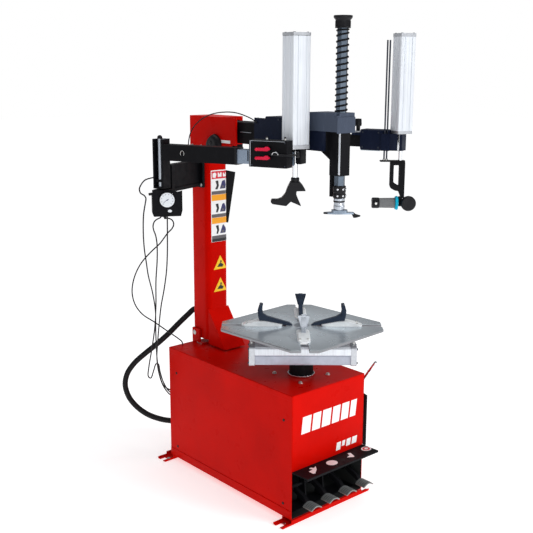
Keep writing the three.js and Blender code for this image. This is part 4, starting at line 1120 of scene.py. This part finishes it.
def roller_tool():
    """The bead roller and disc on their open frame, drawn along the roller's axis."""
    t = Shape("roller_frame_finished", "roller_tool", TOOL).use(BLACK)
    t.block((-87, 20), (-16, 16), (1477, 1483), 2)
    loop = [(-43, 1478), (-43, 1375), (-38, 1362), (-20, 1352), (0, 1349), (4, 1336), (4, 1318),
            (22, 1318), (22, 1478)]
    hole = [(-27, 1462), (-4, 1462), (-4, 1374), (-24, 1386), (-27, 1392)]
    open_prism(t, loop, hole, -9, 9)

    def bar(shape, u0, u1, r, r2=None, **more):
        """A bar on the roller's axis."""
        shape.rod((u0, 0, ROLLER_Z), (u1, 0, ROLLER_Z), r, r2, **more)

    t.rod((6, 0, 1326), (6, 0, 1283), 9, round_by=1.5)
    t.rod((6, 0, ROLLER_Z), (32, -2, ROLLER_Z), 8)
    t.rod((40, 12, ROLLER_Z), (40, -9.7, ROLLER_Z), 8, round_by=1)
    bar(t.use(STEEL), 8, -116, 6)
    for u in (-70, -59):
        t.use(DARK_STEEL).rod((u, 0, 1480), (u, 0, 1987), 3.5, sides=24, round_by=1)
        t.use(ZINC).rod((u, 0, 1483), (u, 0, 1489), 7, sides=6)
    t.use(CHROME).rod((0, 0, 1480), (0, 0, 1700), 9, sides=40)
    bar(t.use(CYAN), -17, -5, 29, 31, sides=64, round_by=2)
    t.done("roller_frame", slot="black_steel", bevel=1)

    roller = Shape("roller_finished", "press_roller", TOOL).use(GREY_PLASTIC)
    bar(roller, -88, -18, 21.5, 22.5, sides=64, round_by=1.5)
    bar(roller.use(PLASTIC), -118, -84, 23.5, sides=64, round_by=5)
    bar(roller.use(ZINC), -119, -117.6, 9, round_by=0.4)
    roller.rod((-101, -22, ROLLER_Z), (-101, -24.2, ROLLER_Z), 5.5, round_by=0.6)
    roller.done("press_roller", slot="grey_metal", bevel=0.3)
    disc = Shape("disc_finished", "press_disc", TOOL).use(PLASTIC)
    disc.rod((40, -30, ROLLER_Z), (40, -24, ROLLER_Z), 29, 31.5, sides=64, round_by=1.2)
    disc.rod((40, -24, ROLLER_Z), (40, -10, ROLLER_Z), 33, sides=64, round_by=3)
    disc.done("press_disc", slot="black_steel", bevel=0.3)


def crossing(middle, direction, loop, farthest):
    """Where a ray from the middle meets a closed outline."""
    found = []
    for p, q in zip(loop, loop[1:] + loop[:1]):
        start, side = Vector(p) - middle, Vector(q) - Vector(p)
        det = direction.y * side.x - direction.x * side.y
        if abs(det) > 1e-9:
            t = (start.y * side.x - start.x * side.y) / det
            u = (direction.x * start.y - direction.y * start.x) / det
            if t > 0 and -1e-6 <= u <= 1 + 1e-6:
                found.append(t)
    return middle + direction * (max(found) if farthest else min(found))


def open_prism(shape, outline, hole, a, b):
    """A plate along local Y with one opening, as a band of faces between the outline and the opening."""
    middle = Vector((sum(p[0] for p in hole) / len(hole), sum(p[1] for p in hole) / len(hole)))
    count = 96
    ways = [Vector((math.cos(t), math.sin(t))) for t in turns(count)]
    band = ([crossing(middle, way, outline, True) for way in ways]
            + [crossing(middle, way, hole, False) for way in ways])
    verts = [(p.x, y, p.y) for y in (a, b) for p in band]
    # The outer and inner rings of the near side, then those of the far side.
    outer, inner, far_outer, far_inner = (count * i for i in range(4))
    faces = []
    for k in range(count):
        m = (k + 1) % count
        faces += [(outer + k, outer + m, inner + m, inner + k),
                  (far_outer + k, far_inner + k, far_inner + m, far_outer + m),
                  (outer + k, far_outer + k, far_outer + m, outer + m),
                  (inner + k, inner + m, far_inner + m, far_inner + k)]
    shape.put(verts, faces)


turntable()
bead_breaker()
column()
labels()
brackets()
main_arm()
spring()
spindle()
left_arm()
right_arm()


# ---------------------------------------------------------------- studio
AMBIENT = 0.34
FLOOR_GLOW = 0.52


def studio():
    """Plain soft light over a white floor."""
    world = bpy.data.worlds.new("studio")
    bpy.context.scene.world = world
    world.use_nodes = True
    tree = world.node_tree
    soft = tree.nodes["Background"]
    soft.inputs["Color"].default_value = (0.97, 0.98, 1, 1)
    soft.inputs["Strength"].default_value = AMBIENT
    backdrop = tree.nodes.new("ShaderNodeBackground")
    backdrop.inputs["Color"].default_value = (1, 1, 1, 1)
    backdrop.inputs["Strength"].default_value = 1.0
    seen = tree.nodes.new("ShaderNodeLightPath")
    mixed = tree.nodes.new("ShaderNodeMixShader")
    tree.links.new(seen.outputs["Is Camera Ray"], mixed.inputs[0])
    tree.links.new(soft.outputs[0], mixed.inputs[1])
    tree.links.new(backdrop.outputs[0], mixed.inputs[2])
    tree.links.new(mixed.outputs[0], tree.nodes["World Output"].inputs["Surface"])
    bpy.context.scene.view_settings.view_transform = "Standard"

    bm = bmesh.new()
    bmesh.ops.create_grid(bm, x_segments=1, y_segments=1, size=30)
    n = Nodes("floor_white", Roughness=0.9, Specular_IOR_Level=0.1, Emission_Color=(1, 1, 1, 1),
              Emission_Strength=FLOOR_GLOW)
    n.done(n.ramp(n.noise(1.2), [(0.3, (0.94, 0.94, 0.94)), (0.7, (0.96, 0.96, 0.96))]))
    floor = make_object("floor", bm, [n.material])
    floor.location.z = -0.001

    def light(name, kind, energy):
        data = bpy.data.lights.new(name, kind)
        data.energy = energy
        obj = bpy.data.objects.new(name, data)
        bpy.context.scene.collection.objects.link(obj)
        return obj

    def panel(name, at, aim, size, power):
        obj = light(name, "AREA", power)
        obj.data.shape = "RECTANGLE"
        obj.data.size, obj.data.size_y = size
        obj.location = at
        obj.rotation_euler = (Vector(aim) - Vector(at)).to_track_quat("-Z", "Y").to_euler()

    def sun(name, towards, power, angle):
        obj = light(name, "SUN", power)
        obj.data.angle = rad(angle)
        obj.rotation_euler = (-Vector(towards)).to_track_quat("-Z", "Y").to_euler()

    sun("key", (0.55, -1, 0.62), 1.4, 25)
    panel("front", (-0.9, -3.4, 1.5), (0, 0.0, 0.7), (1.6, 2.4), 20)
    panel("left", (-3.0, -2.2, 1.6), (0, 0.2, 0.9), (1.4, 2.6), 9)
    panel("top", (0.2, 0.6, 4.2), (0, 0.3, 0.8), (2.2, 2.2), 40)


studio()
